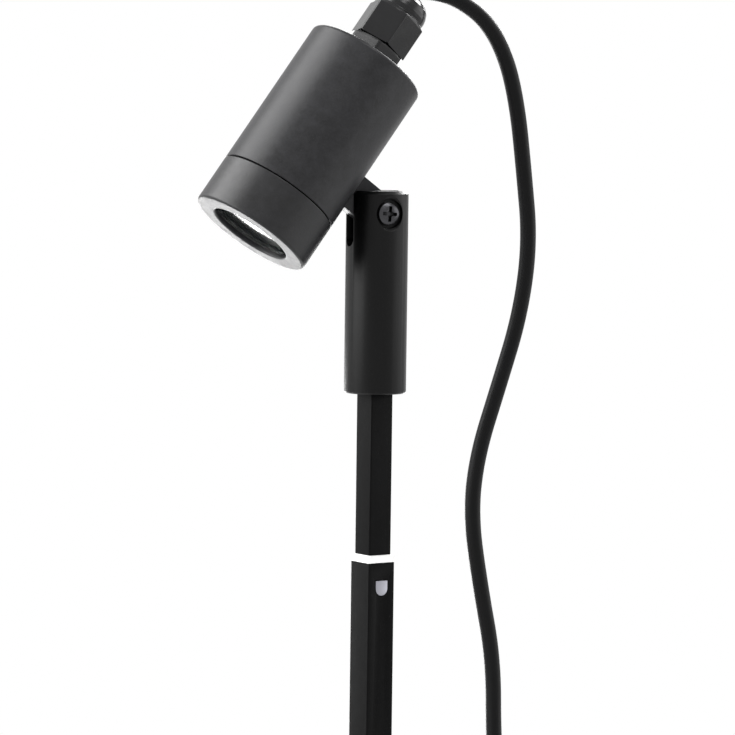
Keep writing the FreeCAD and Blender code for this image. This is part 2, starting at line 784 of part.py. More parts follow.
def buildGland():
    """The cable gland: washer, hexagonal body with its thread through the back wall, locknut, split claw,
    rubber seal, and a domed nut whose hexagon is chamfered into scallops."""
    bevel = get("glandHexChamfer")
    flats = get("glandAcrossFlats")
    corner = flats / (2 * math.cos(math.radians(30)))
    thread = get("glandThreadRadius")
    washer = turned("GlandWasher", rectangle(
        thread + get("threadFit"), headBack, get("glandWasherRadius"), glandSeat))
    subPart(washer, "gland_washer", headFrame)

    spigotTop = nutShoulder - get("glandSpigotWall")
    clawSeat = glandHexTop
    turnedBody = turned("GlandBodyTurned", [
        (throat, headBack - get("glandThreadLength")), (thread, headBack - get("glandThreadLength")),
        (thread, glandSeat), (corner - bevel, glandSeat), (corner, glandSeat + bevel),
        (corner, glandHexTop - bevel), (corner - bevel, glandHexTop),
        (spigotRadius, glandHexTop), (spigotRadius, spigotTop), (clawRadius, spigotTop),
        (clawRadius, clawSeat), (throat, clawSeat),
    ])
    length = spigotTop - headBack + get("glandThreadLength")
    prism = hexagon("GlandBodyHex", flats, length, get("glandBodyAngle"), headBack - get("glandThreadLength"))
    subPart(common("GlandBody", turnedBody, prism), "gland_body", headFrame)

    nutFlats = get("locknutAcrossFlats")
    nutTop = backWallFront
    nutBottom = nutTop - get("locknutThickness")
    nutCorner = nutFlats / (2 * math.cos(math.radians(30)))
    ring = turned("LocknutTurned", [
        (thread + get("threadFit"), nutBottom), (nutCorner - bevel, nutBottom),
        (nutCorner, nutBottom + bevel), (nutCorner, nutTop), (thread + get("threadFit"), nutTop),
    ])
    prism = hexagon("LocknutHex", nutFlats, get("locknutThickness"), get("locknutAngle"), nutBottom)
    subPart(common("Locknut", ring, prism), "gland_locknut", headFrame)

    inside = spigotRadius + get("slipGap")
    domeEdge = nutShoulder + get("glandDomeShoulder")
    mouth = get("glandMouthRadius")
    mouthBore = get("glandMouthBore")
    flat = flats / 2
    domeRise = glandTip - domeEdge
    bulge = (get("glandDomeRadius") - mouth) * 1.25 + domeRise / 4
    nut = turned("GlandNutTurned", [
        (inside, nutFoot), (corner - bevel, nutFoot), (corner, nutFoot + bevel),
        (corner, nutShoulder - bevel), (flat, nutShoulder + bevel),
        (get("glandDomeRadius"), domeEdge, bulge, "right"), (mouth, glandTip), (mouthBore, glandTip),
        (mouthBore, glandTip - get("glandMouthWall")), (clawRadius, domeEdge), (clawRadius, nutShoulder),
        (inside, nutShoulder),
    ])
    prism = hexagon("GlandNutHex", flats, glandTip - nutFoot, get("glandNutAngle"), nutFoot)
    subPart(common("GlandNut", nut, prism), "gland_nut", headFrame)

    clawTop = nutShoulder + get("glandDomeShoulder") / 3
    clawInside = clawRadius - get("slipGap") - get("clawWall")
    ring = turned("ClawRing", rectangle(clawInside, clawSeat, clawRadius - get("slipGap"), clawTop))
    slots = []
    for step in range(6):
        slots.append(box("ClawSlot", clawRadius * 2, get("clawSlot"), get("clawSlotLength") + overshoot,
                         at(z=clawTop - get("clawSlotLength"), angle=30.0 * step)))
    subPart(cut("Claw", ring, fuse("ClawSlots", *slots)), "gland_claw", headFrame)
    seal = turned("GlandSeal", rectangle(
        get("cableRadius") + get("gripGap"), clawSeat, clawInside - get("gripGap"), clawTop))
    subPart(seal, "gland_seal", headFrame)
    inlet = cylinder("CableInGland", get("cableRadius"), glandTip - get("exitInset") - cableInnerEnd)
    subPart(inlet, "cable_in_gland", headFrame.multiply(at(z=cableInnerEnd)))


# ---------------------------------------------------------------- hinge and stem

slotWidth = get("tongueThickness") + (get("hingeWasherThickness") + get("faceClearance") * 2) * 2
boreRadius = get("pivotScrewRadius") + get("pivotClearance")
recessFloor = get("stemRadius") - get("recessDepth")


def buildTongue():
    """The hinge tongue: a round-ended plate seated on the housing's side, with its pivot bore and
    two screws from inside the housing."""
    width = get("tongueWidth")
    thick = get("tongueThickness")
    reach = pivotOffset
    plate = box("TonguePlate", reach, thick, width,
                at(x=reach / 2, z=get("pivotBack") - width / 2))
    across = at(y=thick / 2, x=pivotOffset, z=get("pivotBack"), axis=xAxis, angle=90)
    end = cylinder("TongueEnd", width / 2, thick, across)
    bore = cylinder("TongueBore", boreRadius, thick + overshoot * 2,
                    at(y=thick / 2 + overshoot, x=pivotOffset, z=get("pivotBack"), axis=xAxis, angle=90))
    seat = cylinder("TongueSeat", get("headRadius") + get("tongueSeat"), width * 2,
                    at(z=get("pivotBack") - width))
    depth = get("tongueScrewLength") - get("housingWall") + get("threadFit")
    holes = []
    screws = []
    seatFace = cavityRadius
    for side in (-1, 1):
        z = get("pivotBack") + get("tongueScrewSpacing") / 2 * side
        holes.append(cylinder("TongueScrewHole", get("tongueScrewRadius") + get("threadFit"),
                              depth + overshoot, at(x=get("headRadius") - overshoot, z=z,
                                                    axis=yAxis, angle=90)))
        screws.append(panScrew("TongueScrew", get("tongueScrewRadius"), get("tongueScrewLength"),
                               get("tongueScrewHeadRadius"), get("tongueScrewHead"),
                               at(x=seatFace - get("seatGap"), z=z, axis=yAxis, angle=90)))
    solid = cut("Tongue", fuse("TongueBlank", plate, end), seat, fuse("TongueHoles", bore, *holes))
    subPart(solid, "hinge_tongue", headFrame)
    subPart(fuse("TongueScrews", *screws), "tongue_screws", headFrame)


def buildStem():
    """The turned stem: chamfered rod with a slot for the tongue, a cross bore with a bevelled recess each
    side for the screw's head and nut, and a threaded hole in its foot."""
    radius = get("stemRadius")
    top = get("stemTopChamfer")
    foot = get("stemFootChamfer")
    length = get("stemLength")
    rod = turned("StemRod", [
        (0, 0), (radius - foot, 0), (radius, foot), (radius, length - top), (radius - top, length), (0, length),
    ])
    pivot = length - get("pivotBelowTop")
    slotFloor = pivot - get("slotBelowPivot") + slotWidth / 2
    slot = box("SlotBox", radius * 2 + overshoot * 2, slotWidth, length - slotFloor + overshoot, at(z=slotFloor))
    slotEnd = cylinder("SlotEnd", slotWidth / 2, radius * 2 + overshoot * 2,
                       at(x=-(radius + overshoot), z=slotFloor, axis=yAxis, angle=90))
    bore = cylinder("StemBore", boreRadius, radius * 2,
                    at(y=radius, z=pivot, axis=xAxis, angle=90))
    tools = [slot, slotEnd, bore]
    for side in (-1, 1):
        turn = -90 * side
        tools.append(cylinder("Recess", get("recessRadius"), get("recessDepth") + overshoot,
                              at(y=recessFloor * side, z=pivot, axis=xAxis, angle=turn)))
        mouth = radius - get("recessBevel")
        tools.append(cone("RecessBevel", get("recessRadius") - get("recessBevel"),
                          get("recessRadius") + get("recessBevel") * 2, get("recessBevel") * 3,
                          at(y=(mouth - get("recessBevel") * 2) * side, z=pivot, axis=xAxis, angle=turn)))
    tools.append(cylinder("StudHole", get("studRadius") + get("threadFit"), get("studInStem") + overshoot * 2,
                          at(z=-overshoot)))
    subPart(cut("Stem", rod, fuse("StemTools", *tools)), "stem", at(z=stemFoot))


def buildPivot():
    """The pivot screw with its cross recess, its nut, and two friction washers in the slot."""
    head = get("pivotHeadDepth")
    headRadius = get("pivotHeadRadius")
    dome = get("pivotHeadDome")
    shank = get("pivotScrewRadius")
    length = recessFloor * 2 + get("pivotNutThickness")
    soft = dome / 2
    blank = turned("PivotBlank", [
        (0, -head), (headRadius - dome * 2, -head), (headRadius, -head + dome), (headRadius, 0),
        (shank, 0), (shank, length - soft), (shank - soft, length), (0, length),
    ])
    arms = [box("CrossArm", get("crossLength"), get("crossWidth"), get("crossDepth") + overshoot,
                at(z=-head - overshoot, angle=get("crossAngle") + turn)) for turn in (0, 90)]
    middle = cone("CrossCentre", get("crossMouthRadius"), get("crossTipRadius"),
                  get("crossDepth") + overshoot, at(z=-head - overshoot))
    screw = cut("PivotScrew", blank, fuse("CrossRecess", *arms, middle))
    subPart(screw, "pivot_screw", pivotFrame.multiply(at(y=-recessFloor, axis=xAxis, angle=-90)))

    flats = get("pivotNutAcrossFlats")
    corner = flats / (2 * math.cos(math.radians(30)))
    bevel = get("recessBevel")
    ring = turned("PivotNutTurned", [
        (shank + get("threadFit"), 0), (corner, 0), (corner, get("pivotNutThickness") - bevel),
        (corner - bevel, get("pivotNutThickness")), (shank + get("threadFit"), get("pivotNutThickness")),
    ])
    prism = hexagon("PivotNutHex", flats, get("pivotNutThickness"), asSize(0), asSize(0))
    subPart(common("PivotNut", ring, prism), "pivot_nut",
            pivotFrame.multiply(at(y=recessFloor, axis=xAxis, angle=-90)))

    washers = []
    for side in (-1, 1):
        washer = turned("HingeWasher", rectangle(
            boreRadius, asSize(0), get("hingeWasherRadius"), get("hingeWasherThickness")))
        low = get("tongueThickness") / 2 + get("faceClearance")
        washer.Placement = at(y=low * side, axis=xAxis, angle=-90 * side)
        washers.append(washer)
    subPart(fuse("HingeWashers", *washers), "hinge_washers", pivotFrame)


# ---------------------------------------------------------------- pole


def buildPole():
    """The upper bar with its threaded insert and stud, the white connector, the lower tube and its point."""
    side = get("barSide")
    insideBar = side - get("barWall") * 2
    barFoot = collarTop
    bar = padded("UpperBar", "XY_Plane", [roundedSquare(side, get("barCorner")), squareLoop(insideBar)],
                 get("barShowing"))
    subPart(bar, "upper_pole", poleFrame.multiply(at(z=barFoot)))
    insertSide = insideBar - get("plugFit") * 2
    insert = padded("BarInsert", "XY_Plane", [squareLoop(insertSide)], get("barInsertLength"))
    hole = cylinder("InsertHole", get("studRadius") + get("threadFit"), get("studInBar") + overshoot * 2,
                    at(z=get("barInsertLength") - get("studInBar")))
    subPart(cut("Insert", insert, hole), "bar_insert",
            poleFrame.multiply(at(z=stemFoot - get("barInsertLength"))))
    soft = get("stemFootChamfer")
    stud = get("studRadius")
    length = get("studInStem") + get("studInBar")
    screw = turned("Stud", [
        (0, 0), (stud - soft, 0), (stud, soft), (stud, length - soft), (stud - soft, length), (0, length),
    ])
    subPart(screw, "pole_stud", at(z=stemFoot - get("studInBar")))

    tube = get("tubeSide")
    insideTube = tube - get("tubeWall") * 2
    lowerSide = insideTube - get("plugFit") * 2
    upperSide = insideBar - get("plugFit") * 2
    collar = padded("Collar", "XY_Plane", [roundedSquare(tube, get("tubeCorner"))], get("collarHeight"))
    upper = box("UpperSpigot", upperSide, upperSide, get("upperSpigot") + get("collarHeight"),
                at(z=0))
    lower = box("LowerSpigot", lowerSide, lowerSide, get("lowerSpigot") + get("collarHeight"),
                at(z=-get("lowerSpigot")))
    hollowSide = lowerSide - get("spigotWall") * 2
    hollow = box("SpigotHollow", hollowSide, hollowSide, get("lowerSpigot"),
                 at(z=-get("lowerSpigot") - get("collarHeight")))
    window = shieldTool("ConnectorWindow", get("buttonClearance"), get("spigotWall") + overshoot * 2,
                        at(y=-lowerSide / 2 - overshoot, z=-get("buttonBelowTop")))
    connector = cut("Connector", fuse("ConnectorBlank", collar, upper, lower), hollow, window)
    subPart(connector, "pole_connector", poleFrame.multiply(at(z=tubeTop)))

    length = get("tubeLength")
    lowerTube = padded("LowerTube", "XY_Plane", [roundedSquare(tube, get("tubeCorner")), squareLoop(insideTube)],
                       length)
    opening = shieldTool("TubeWindow", get("buttonClearance"), get("tubeWall") + overshoot * 2,
                         at(y=-tube / 2 - overshoot, z=length - get("buttonBelowTop")))
    subPart(cut("SpikeTube", lowerTube, opening), "spike_tube", poleFrame.multiply(at(z=pointTop)))

    buildPoint(tube, lowerSide)
    buildButton(tube, lowerSide, hollowSide)


def shieldLoop(grow):
    """The button's outline: a flat top, straight sides and a round foot, grown by a clearance."""
    half = get("buttonWidth") / 2 + grow
    top = get("buttonHeight") / 2 + grow
    knee = -get("buttonHeight") / 2 + get("buttonWidth") / 2
    return [(half, knee), (half, top), (-half, top), (-half, knee, half, "right"), (0, knee - half, half, "right")]


def shieldTool(name, grow, depth, place):
    """The button's outline as a solid that runs along +Y from its placement."""
    tool = padded(name, "XZ_Plane", [shieldLoop(grow)], depth)
    tool.Tip.Reversed = True
    tool.Placement = place
    return tool


def buildButton(tube, lowerSide, hollowSide):
    """The snap button: a shield-shaped lug through connector and tube, with a flange behind the wall and
    a bowed leaf spring that pushes it out."""
    flangeBack = hollowSide / 2 - get("buttonClearance")
    lugDepth = tube / 2 + get("buttonProud") - flangeBack
    lug = shieldTool("ButtonLug", asSize(0), lugDepth, at(y=-(tube / 2 + get("buttonProud"))))
    lip = get("buttonFlangeLip")
    flangeWidth = get("buttonWidth") + lip
    flange = box("ButtonFlange", flangeWidth, get("buttonFlange"), get("buttonHeight") + lip,
                 at(y=-flangeBack + get("buttonFlange") / 2, z=-(get("buttonHeight") + lip) / 2))
    place = poleFrame.multiply(at(z=tubeTop - get("buttonBelowTop")))
    subPart(fuse("Button", lug, flange), "snap_button", place)
    near = -flangeBack + get("buttonFlange")
    far = hollowSide / 2
    thick = get("springThickness")
    low = get("buttonHeight") / 2
    spring = padded("ButtonSpring", "YZ_Plane", [[
        (near, -thick), (far - thick, -low), (far, -low), (far, -low + thick),
        (near + thick, 0), (far, low - thick), (far, low), (far - thick, low), (near, thick),
    ]], get("springWidth"), symmetric=True)
    subPart(spring, "button_spring", place)


def buildPoint(tube, lowerSide):
    """The spike's point: a square pyramid down to a blunt tip, with a plug up inside the tube."""
    body = newBody("PointBody")
    tip = closedSketch(body, "XY_Plane", [squareLoop(get("pointTipSide"))], "Tip")
    base = closedSketch(body, "XY_Plane", [squareLoop(tube - get("plugFit"))], "Base")
    base.setExpression("AttachmentOffset.Base.z", get("pointLength").text)
    loft = body.newObject("PartDesign::AdditiveLoft", "Taper")
    loft.Profile = tip
    loft.Sections = [base]
    loft.Ruled = True
    plug = closedSketch(body, "XY_Plane", [squareLoop(lowerSide)], "Plug")
    plug.setExpression("AttachmentOffset.Base.z", get("pointLength").text)
    pad = body.newObject("PartDesign::Pad", "PlugPad")
    pad.Profile = plug
    bind(pad, Length=get("pointPlug"))
    subPart(body, "spike_point", poleFrame)


# ---------------------------------------------------------------- lead

radius = get("cableRadius").value
diameter = radius * 2
pivotPoint = pivotFrame.Base
exitPoint = headFrame.multVec(Vector(0, 0, (glandTip - get("exitInset")).value))
exitWay = headFrame.Rotation.multVec(zAxis)
floorLevel = radius + get("tieThickness").value + get("tieGap").value
landingY = get("coilY").value - get("coilRadius").value
coilStart = Vector(get("coilX").value, landingY, floorLevel)

# from the pivot: over the gland, down the far side of the stem and in towards the pole
upperRoute = [exitPoint, exitPoint + exitWay * get("exitRun").value] + [
    pivotPoint + Vector(*spot) for spot in (
        (21.5, 0.0, 106.8),
        (30.5, 0.0, 106.0),
        (41.5, -0.5, 103.5),
        (57.5, -1.0, 93.5),
        (69.0, -1.0, 75.0),
        (76.0, 0.0, 50.5),
        (80.5, 1.0, 20.0),
        (84.5, 1.0, -14.5),
        (80.5, 2.5, -50.5),
        (69.5, 4.0, -86.5),
        (59.0, 4.5, -118.5),
    )
]
# from the floor: down to the landing, and round on to the coil
lowerRoute = [
    Vector(54.5, 3.0, 312.0),
    Vector(59.5, 1.0, 276.0),
    Vector(66.5, 0.0, 240.0),
    Vector(65.5, -3.0, 200.0),
    Vector(66.5, -12.0, 150.0),
    Vector(62.5, -25.0, 104.0),
    Vector(64.0, landingY, 66.0),
    Vector(68.0, landingY, 38.0),
    Vector(80.5, landingY, 17.0),
    Vector(101.0, landingY, floorLevel),
    coilStart,
]


def biarc(start, startWay, end, endWay):
    """Two arcs, tangent to each other, from one point and direction to another."""
    across = end - start
    both = startWay + endWay
    spread = 2 * (1 - startWay.dot(endWay))
    along = across.dot(both)
    reach = (math.sqrt(along * along + spread * across.dot(across)) - along) / spread
    firstKnee = start + startWay * reach
    lastKnee = end - endWay * reach
    join = (firstKnee + lastKnee) / 2
    return [tangentArc(start, firstKnee, join), tangentArc(join, lastKnee, end)]


def tangentArc(start, knee, end):
    """The arc that leaves start towards knee and reaches end from it."""
    half = (end - start).Length / 2
    middle = (start + end) / 2
    rise = (knee - middle).Length
    reach = math.hypot(half, rise)
    lift = half * half / (reach + rise) if rise > 0 else 0
    bow = middle + (knee - middle).normalize() * (half * (reach - half) / rise)
    return Part.Arc(start, bow if lift else middle, end).toShape()


def coilSpot(turn):
    """The coil's centre line after so many turns: in at a steady rate, up a layer in the half turn where
    it reverses, and out again."""
    half = get("coilLayerTurns").value
    pitch = get("coilPitch").value
    angle = 2 * math.pi * turn - math.pi / 2
    reach = get("coilRadius").value - pitch * (half - abs(turn - half))
    share = min(max((turn - half) * 2 + 0.5, 0), 1)
    lift = pitch * share * share * (3 - 2 * share)
    return Vector(get("coilX").value + reach * math.cos(angle),
                  get("coilY").value + reach * math.sin(angle),
                  floorLevel + lift)


def coilWay(turn):
    """The coil's direction there, measured across a short step, and square to the radius at its ends."""
    step = 0.004
    whole = get("coilLayerTurns").value * 2
    if turn < step or turn > whole - step:
        angle = 2 * math.pi * turn
        return Vector(math.cos(angle), math.sin(angle), 0)
    return (coilSpot(turn + step) - coilSpot(turn - step)).normalize()


def coilEdges():
    """Quarter-turn biarcs through the coil's points, with a straight diameter at each end."""
    turns = get("coilLayerTurns").value * 2
    steps = int(round(turns * 4))
    stations = [turns * index / steps for index in range(steps + 1)]
    spots = [coilSpot(turn) for turn in stations]
    ways = [coilWay(turn) for turn in stations]
    edges = [Part.LineSegment(spots[0] - ways[0] * diameter, spots[0]).toShape()]
    for index in range(steps):
        edges += biarc(spots[index], ways[index], spots[index + 1], ways[index + 1])
    edges.append(Part.LineSegment(spots[-1], spots[-1] + ways[-1] * diameter).toShape())
    return edges


def leastSelfGap(edges):
    """The least clear gap between turns, on points along the coil that are a quarter turn or more apart."""
    spacing = 2.0
    points = []
    for edge in edges:
        points += edge.discretize(Distance=spacing)[:-1]
    quarter = int(get("coilRadius").value * math.pi / 2 / spacing)
    least = min((points[i] - points[j]).Length
                for i in range(0, len(points), 2) for j in range(i + quarter, len(points)))
    return least - diameter


def buildLead():
    """The lead's upper and lower stretches, its coil with a tie, and the short end into the plug."""
    route = upperRoute + lowerRoute[:-1] + [coilStart - Vector(diameter, 0, 0)]
    radii = []
    edges = routeEdges(route, radii=radii)
    print("lead radii, mm:", " ".join(f"{value:.0f}" for value in radii))
    split = 2 * (len(upperRoute) - 1)
    crossing = edges[split]
    ends = [vertex.Point for vertex in crossing.Vertexes]
    middle = (ends[0] + ends[1]) / 2
    upper = edges[:split] + [Part.LineSegment(ends[0], middle).toShape()]
    lower = [Part.LineSegment(middle, ends[1]).toShape()] + edges[split + 1:]
    shapeFeature("CableUpper", sweptTube(upper, radius, "cable_upper"), "cable_upper")
    shapeFeature("CableLower", sweptTube(lower, radius, "cable_lower"), "cable_lower")

    coil = coilEdges()
    gap = leastSelfGap(coil)
    print(f"coil: least gap to itself {gap:.2f} mm")
    if gap < get("leastCoilGap").value:
        raise ValueError("the coil's turns are too close")
    shapeFeature("CableCoil", sweptTube(coil, radius, "cable_coil"), "cable_coil")

    wall = get("tieThickness")
    gapSize = get("tieGap")
    inWide = get("cableRadius") * 2 + get("coilPitch") + gapSize * 2
    inTall = get("cableRadius") * 2 + get("coilPitch") + gapSize * 2
    outer = rectangle(-inWide / 2 - wall, asSize(0), inWide / 2 + wall, inTall + wall * 2)
    inner = rectangle(-inWide / 2, wall, inWide / 2, inTall + wall)
    tie = padded("CoilTie", "XZ_Plane", [outer, inner], get("tieWidth"), symmetric=True)
    turn = get("tieTurns").value
    middle = (coilSpot(turn) + coilSpot(turn + 1)) / 2
    subPart(tie, "coil_tie", Placement(Vector(middle.x, middle.y, 0), Rotation()))


# where the ribbed relief has its grooves, as shares of its length
grooveShares = (0.125, 0.375, 0.625, 0.875)


def buildPlug():
    """The rubber plug, lying beside the coil: round face, waisted grip and ribbed strain relief, two round
    pins and an earth contact on each side. Its axis runs along -X, from the lead's end to the pins."""
    coilEnd = coilSpot(get("coilLayerTurns").value * 2)
    end = coilEnd - Vector(diameter, 0, 0)
    axisHeight = get("plugRadius").value + get("tieGap").value
    tailRun = get("tailRun").value
    reach = coilEnd.x - get("leadTail").value
    route = [end, Vector(end.x - tailRun, end.y, end.z), Vector(reach + tailRun, end.y, axisHeight),
             Vector(reach, end.y, axisHeight)]
    radii = []
    edges = routeEdges(route, radii=radii)
    print("lead end radii, mm:", " ".join(f"{value:.0f}" for value in radii))
    edges.append(Part.LineSegment(route[-1], route[-1] - Vector(get("reliefHold").value, 0, 0)).toShape())
    shapeFeature("CableEnd", sweptTube(edges, radius, "cable_end"), "cable_end")

    frame = Placement(Vector(reach, end.y, axisHeight), Rotation(yAxis, -90))
    relief = get("reliefLength")
    gripTop = relief + get("plugGripLength")
    face = gripTop + get("plugFaceDepth")
    body = get("plugRadius")
    rounding = get("plugFaceRound")
    grip = get("plugGripRadius")
    hold = get("cableRadius") + get("gripGap")
    ribs = [(hold, 0), (get("reliefEndRadius"), 0)]
    width = relief / (3 * len(grooveShares))
    for share in grooveShares:
        low = relief * share
        here = get("reliefEndRadius") + (get("reliefRadius") - get("reliefEndRadius")) * share
        dip = here - get("reliefGroove")
        ribs += [(here, low), (dip, low), (dip, low + width), (here, low + width)]
    blank = turned("PlugTurned", ribs + [
        (get("reliefRadius"), relief), (grip - rounding, relief), (grip, relief + rounding),
        (grip - rounding, gripTop - rounding * 3), (body - rounding * 2, gripTop),
        (body, gripTop + rounding), (body, face - rounding), (body - rounding, face), (0, face),
        (0, get("reliefHold") + get("seatGap")), (hold, get("reliefHold") + get("seatGap")),
    ])
    notches = []
    contacts = []
    wide = get("contactWidth")
    thick = get("contactThickness")
    long = get("contactLength")
    floor = body - thick - get("contactProud")
    for side in (-1, 1):
        notches.append(box("ContactNotch", thick * 4, wide + get("slipGap") * 2, long + overshoot,
                           at(x=(floor + thick * 2) * side, z=face - long)))
        contacts.append(box("Contact", thick, wide, long - get("slipGap") * 2,
                            at(x=(floor + thick / 2) * side, z=face - long + get("slipGap"))))
    pins = []
    for side in (-1, 1):
        place = at(y=get("pinSpacing") / 2 * side, z=face - get("pinInset"))
        notches.append(cylinder("PinSocket", get("pinRootRadius") + get("threadFit"),
                                get("pinInset") + overshoot, place))
        soft = get("pinRound")
        length = get("pinInset") + get("pinLength")
        pin = turned("PlugPin", [
            (0, 0), (get("pinRootRadius"), 0), (get("pinRootRadius"), get("pinInset")),
            (get("pinRadius"), get("pinInset")), (get("pinRadius"), length - soft, soft, "right"),
            (get("pinRadius") - soft, length), (0, length),
        ])
        pin.Placement = place
        pins.append(pin)
    subPart(cut("PlugBody", blank, fuse("PlugTools", *notches)), "plug_body", frame)
    subPart(fuse("PlugPins", *pins), "plug_pins", frame)
    subPart(fuse("PlugContacts", *contacts), "plug_earth_contacts", frame)
    tip = frame.multVec(Vector(0, 0, (face + get("pinLength")).value))
    faceX = frame.multVec(Vector(0, 0, face.value)).x
    print(f"plug: axis at y {end.y:.2f}, z {axisHeight:.2f}, face at x {faceX:.2f}, pins end at x {tip.x:.2f}")


buildHousing()
buildBezel()
buildORing()
buildLamp()
buildHolder()
buildInnerScrews()
buildTerminalBlock()
buildCores()
buildGland()
buildTongue()
buildStem()
buildPivot()
buildPole()
buildLead()
buildPlug()

doc.recompute()

# ---------------------------------------------------------------- checks and export


def checkDocument():
    for thing in doc.Objects:
        if "Invalid" in thing.State or "Error" in thing.State:
            raise ValueError(f"{thing.Label} failed: {thing.State}")
    for thing in subParts:
        shape = thing.Shape
        if shape.isNull() or not shape.isValid() or shape.Volume <= 0:
            raise ValueError(f"{thing.Label} has no valid solid")


def report():
    print(f"pivot at z {pivotHeight.value:.2f}, stem foot {stemFoot.value:.2f}, tube top {tubeTop.value:.2f}")
    print(f"lead leaves at {exitPoint.x:.2f} {exitPoint.y:.2f} {exitPoint.z:.2f}")
    for thing in subParts:
        corners = thing.Shape.BoundBox
        print(f"{thing.Label:22s} solids {len(thing.Shape.Solids)}  volume {thing.Shape.Volume:9.1f}"
              f"  z {corners.ZMin:7.2f} to {corners.ZMax:7.2f}")


checkDocument()
report()
os.makedirs("parts", exist_ok=True)
for thing in subParts:
    thing.Shape.exportStep(f"parts/{thing.Label}.step")
print(f"{len(subParts)} sub-parts written")
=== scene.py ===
import math
import bmesh
import bpy
import numpy as np
from mathutils import Matrix


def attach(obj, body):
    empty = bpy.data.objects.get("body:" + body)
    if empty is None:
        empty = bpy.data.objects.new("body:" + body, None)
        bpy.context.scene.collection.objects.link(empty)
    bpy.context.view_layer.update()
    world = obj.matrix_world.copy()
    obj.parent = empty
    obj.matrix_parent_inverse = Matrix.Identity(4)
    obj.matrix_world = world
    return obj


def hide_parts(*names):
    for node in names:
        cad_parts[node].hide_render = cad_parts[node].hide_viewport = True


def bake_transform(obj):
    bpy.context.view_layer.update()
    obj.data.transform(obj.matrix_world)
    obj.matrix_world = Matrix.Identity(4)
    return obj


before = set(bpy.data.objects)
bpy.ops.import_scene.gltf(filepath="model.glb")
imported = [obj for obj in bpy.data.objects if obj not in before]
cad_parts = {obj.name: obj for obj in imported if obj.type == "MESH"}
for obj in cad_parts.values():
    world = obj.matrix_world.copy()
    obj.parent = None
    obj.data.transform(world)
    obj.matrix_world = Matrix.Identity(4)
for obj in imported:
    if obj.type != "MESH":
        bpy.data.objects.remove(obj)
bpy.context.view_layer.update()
bpy.context.scene.view_settings.view_transform = "Standard"
print("frame loaded:", len(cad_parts), "nodes")

mm = 0.001
zAxis = np.array([0.0, 0.0, 1.0])

# where the head stands, as in the solids, in millimetres and degrees
headPose = {
    "pivot": (0.0, 0.0, 460.1),
    "lean": 36.3,
    "pivotOffset": 48.4,
    "pivotBack": 47.7,
}


def leanTurn(degrees):
    # the rotation matrix about Y by the right-hand rule
    c, s = math.cos(math.radians(degrees)), math.sin(math.radians(degrees))
    return np.array([[c, 0, s], [0, 1, 0], [-s, 0, c]])


class Place:
    # a turn followed by a shift, in millimetres; calling it takes points into the frame
    def __init__(self, shift, turn=None):
        self.shift = np.array(shift, float)
        self.turn = np.eye(3) if turn is None else np.array(turn, float)

    def __call__(self, points):
        return np.asarray(points, float) @ self.turn.T + self.shift

    def then(self, inner):
        # the inner place first, then this one
        return Place(self(inner.shift), self.turn @ inner.turn)


# the head's own frame: its axis is Z, from the front face backwards
headPlace = Place(headPose["pivot"], leanTurn(headPose["lean"])).then(
    Place((-headPose["pivotOffset"], 0, -headPose["pivotBack"])))

# camera: degrees and millimetres; the pivot's place is in pixels from the middle of the photograph
view = {
    "azimuth": -26.5,
    "down": 4.14,
    "roll": 0.75,
    "pivotDistance": 1874.6,
    "focalPixels": 3900.0,
    "photoPixels": 735.0,
    "sensorWidth": 36.0,
    "clipEnd": 100.0,
    "pivotRight": 9.75,
    "pivotUp": 154.5,
}


def linked(name, data):
    # a new object with this mesh, curve, lamp or camera
    thing = bpy.data.objects.new(name, data)
    bpy.context.scene.collection.objects.link(thing)
    return thing


def poseOf(right, up, back, spot):
    # the world matrix whose columns are these three ways and this spot in metres
    matrix = np.eye(4)
    matrix[:3, 0], matrix[:3, 1], matrix[:3, 2], matrix[:3, 3] = right, up, back, spot
    return Matrix(matrix)


def makeCamera():
    # the camera stands back from the pivot, looks along the azimuth and somewhat down, and rolls about that way
    around, down, roll = (math.radians(view[key]) for key in ("azimuth", "down", "roll"))
    back = np.array([math.sin(around) * math.cos(down), -math.cos(around) * math.cos(down), math.sin(down)])
    level = np.array([math.cos(around), math.sin(around), 0.0])
    plumb = np.cross(back, level)
    right = math.cos(roll) * level + math.sin(roll) * plumb
    up = -math.sin(roll) * level + math.cos(roll) * plumb
    perPixel = view["pivotDistance"] / view["focalPixels"]
    spot = (np.array(headPose["pivot"]) + view["pivotDistance"] * back
            - perPixel * (view["pivotRight"] * right + view["pivotUp"] * up))
    data = bpy.data.cameras.new("photoCamera")
    data.sensor_width = view["sensorWidth"]
    data.lens = view["focalPixels"] / view["photoPixels"] * view["sensorWidth"]
    data.clip_end = view["clipEnd"]
    camera = linked("photoCamera", data)
    camera.matrix_world = poseOf(right, up, back, spot * mm)
    bpy.context.scene.camera = camera


makeCamera()
print("camera ready")

# shader maths


class Wire:
    # an output socket; a sum or product with it adds a Math node
    def __init__(self, recipe, socket):
        self.recipe, self.socket = recipe, socket

    def maths(self, operation, first, second):
        return self.recipe.node("ShaderNodeMath", {"operation": operation}, {0: first, 1: second})

    def larger(self, other):
        return self.maths("MAXIMUM", self, other)

    def __add__(self, other):
        return self.maths("ADD", self, other)

    def __radd__(self, other):
        return self.maths("ADD", other, self)

    def __mul__(self, other):
        return self.maths("MULTIPLY", self, other)

    def __rmul__(self, other):
        return self.maths("MULTIPLY", other, self)


# where most of a noise's values lie
usualNoise = (0.3, 0.7)


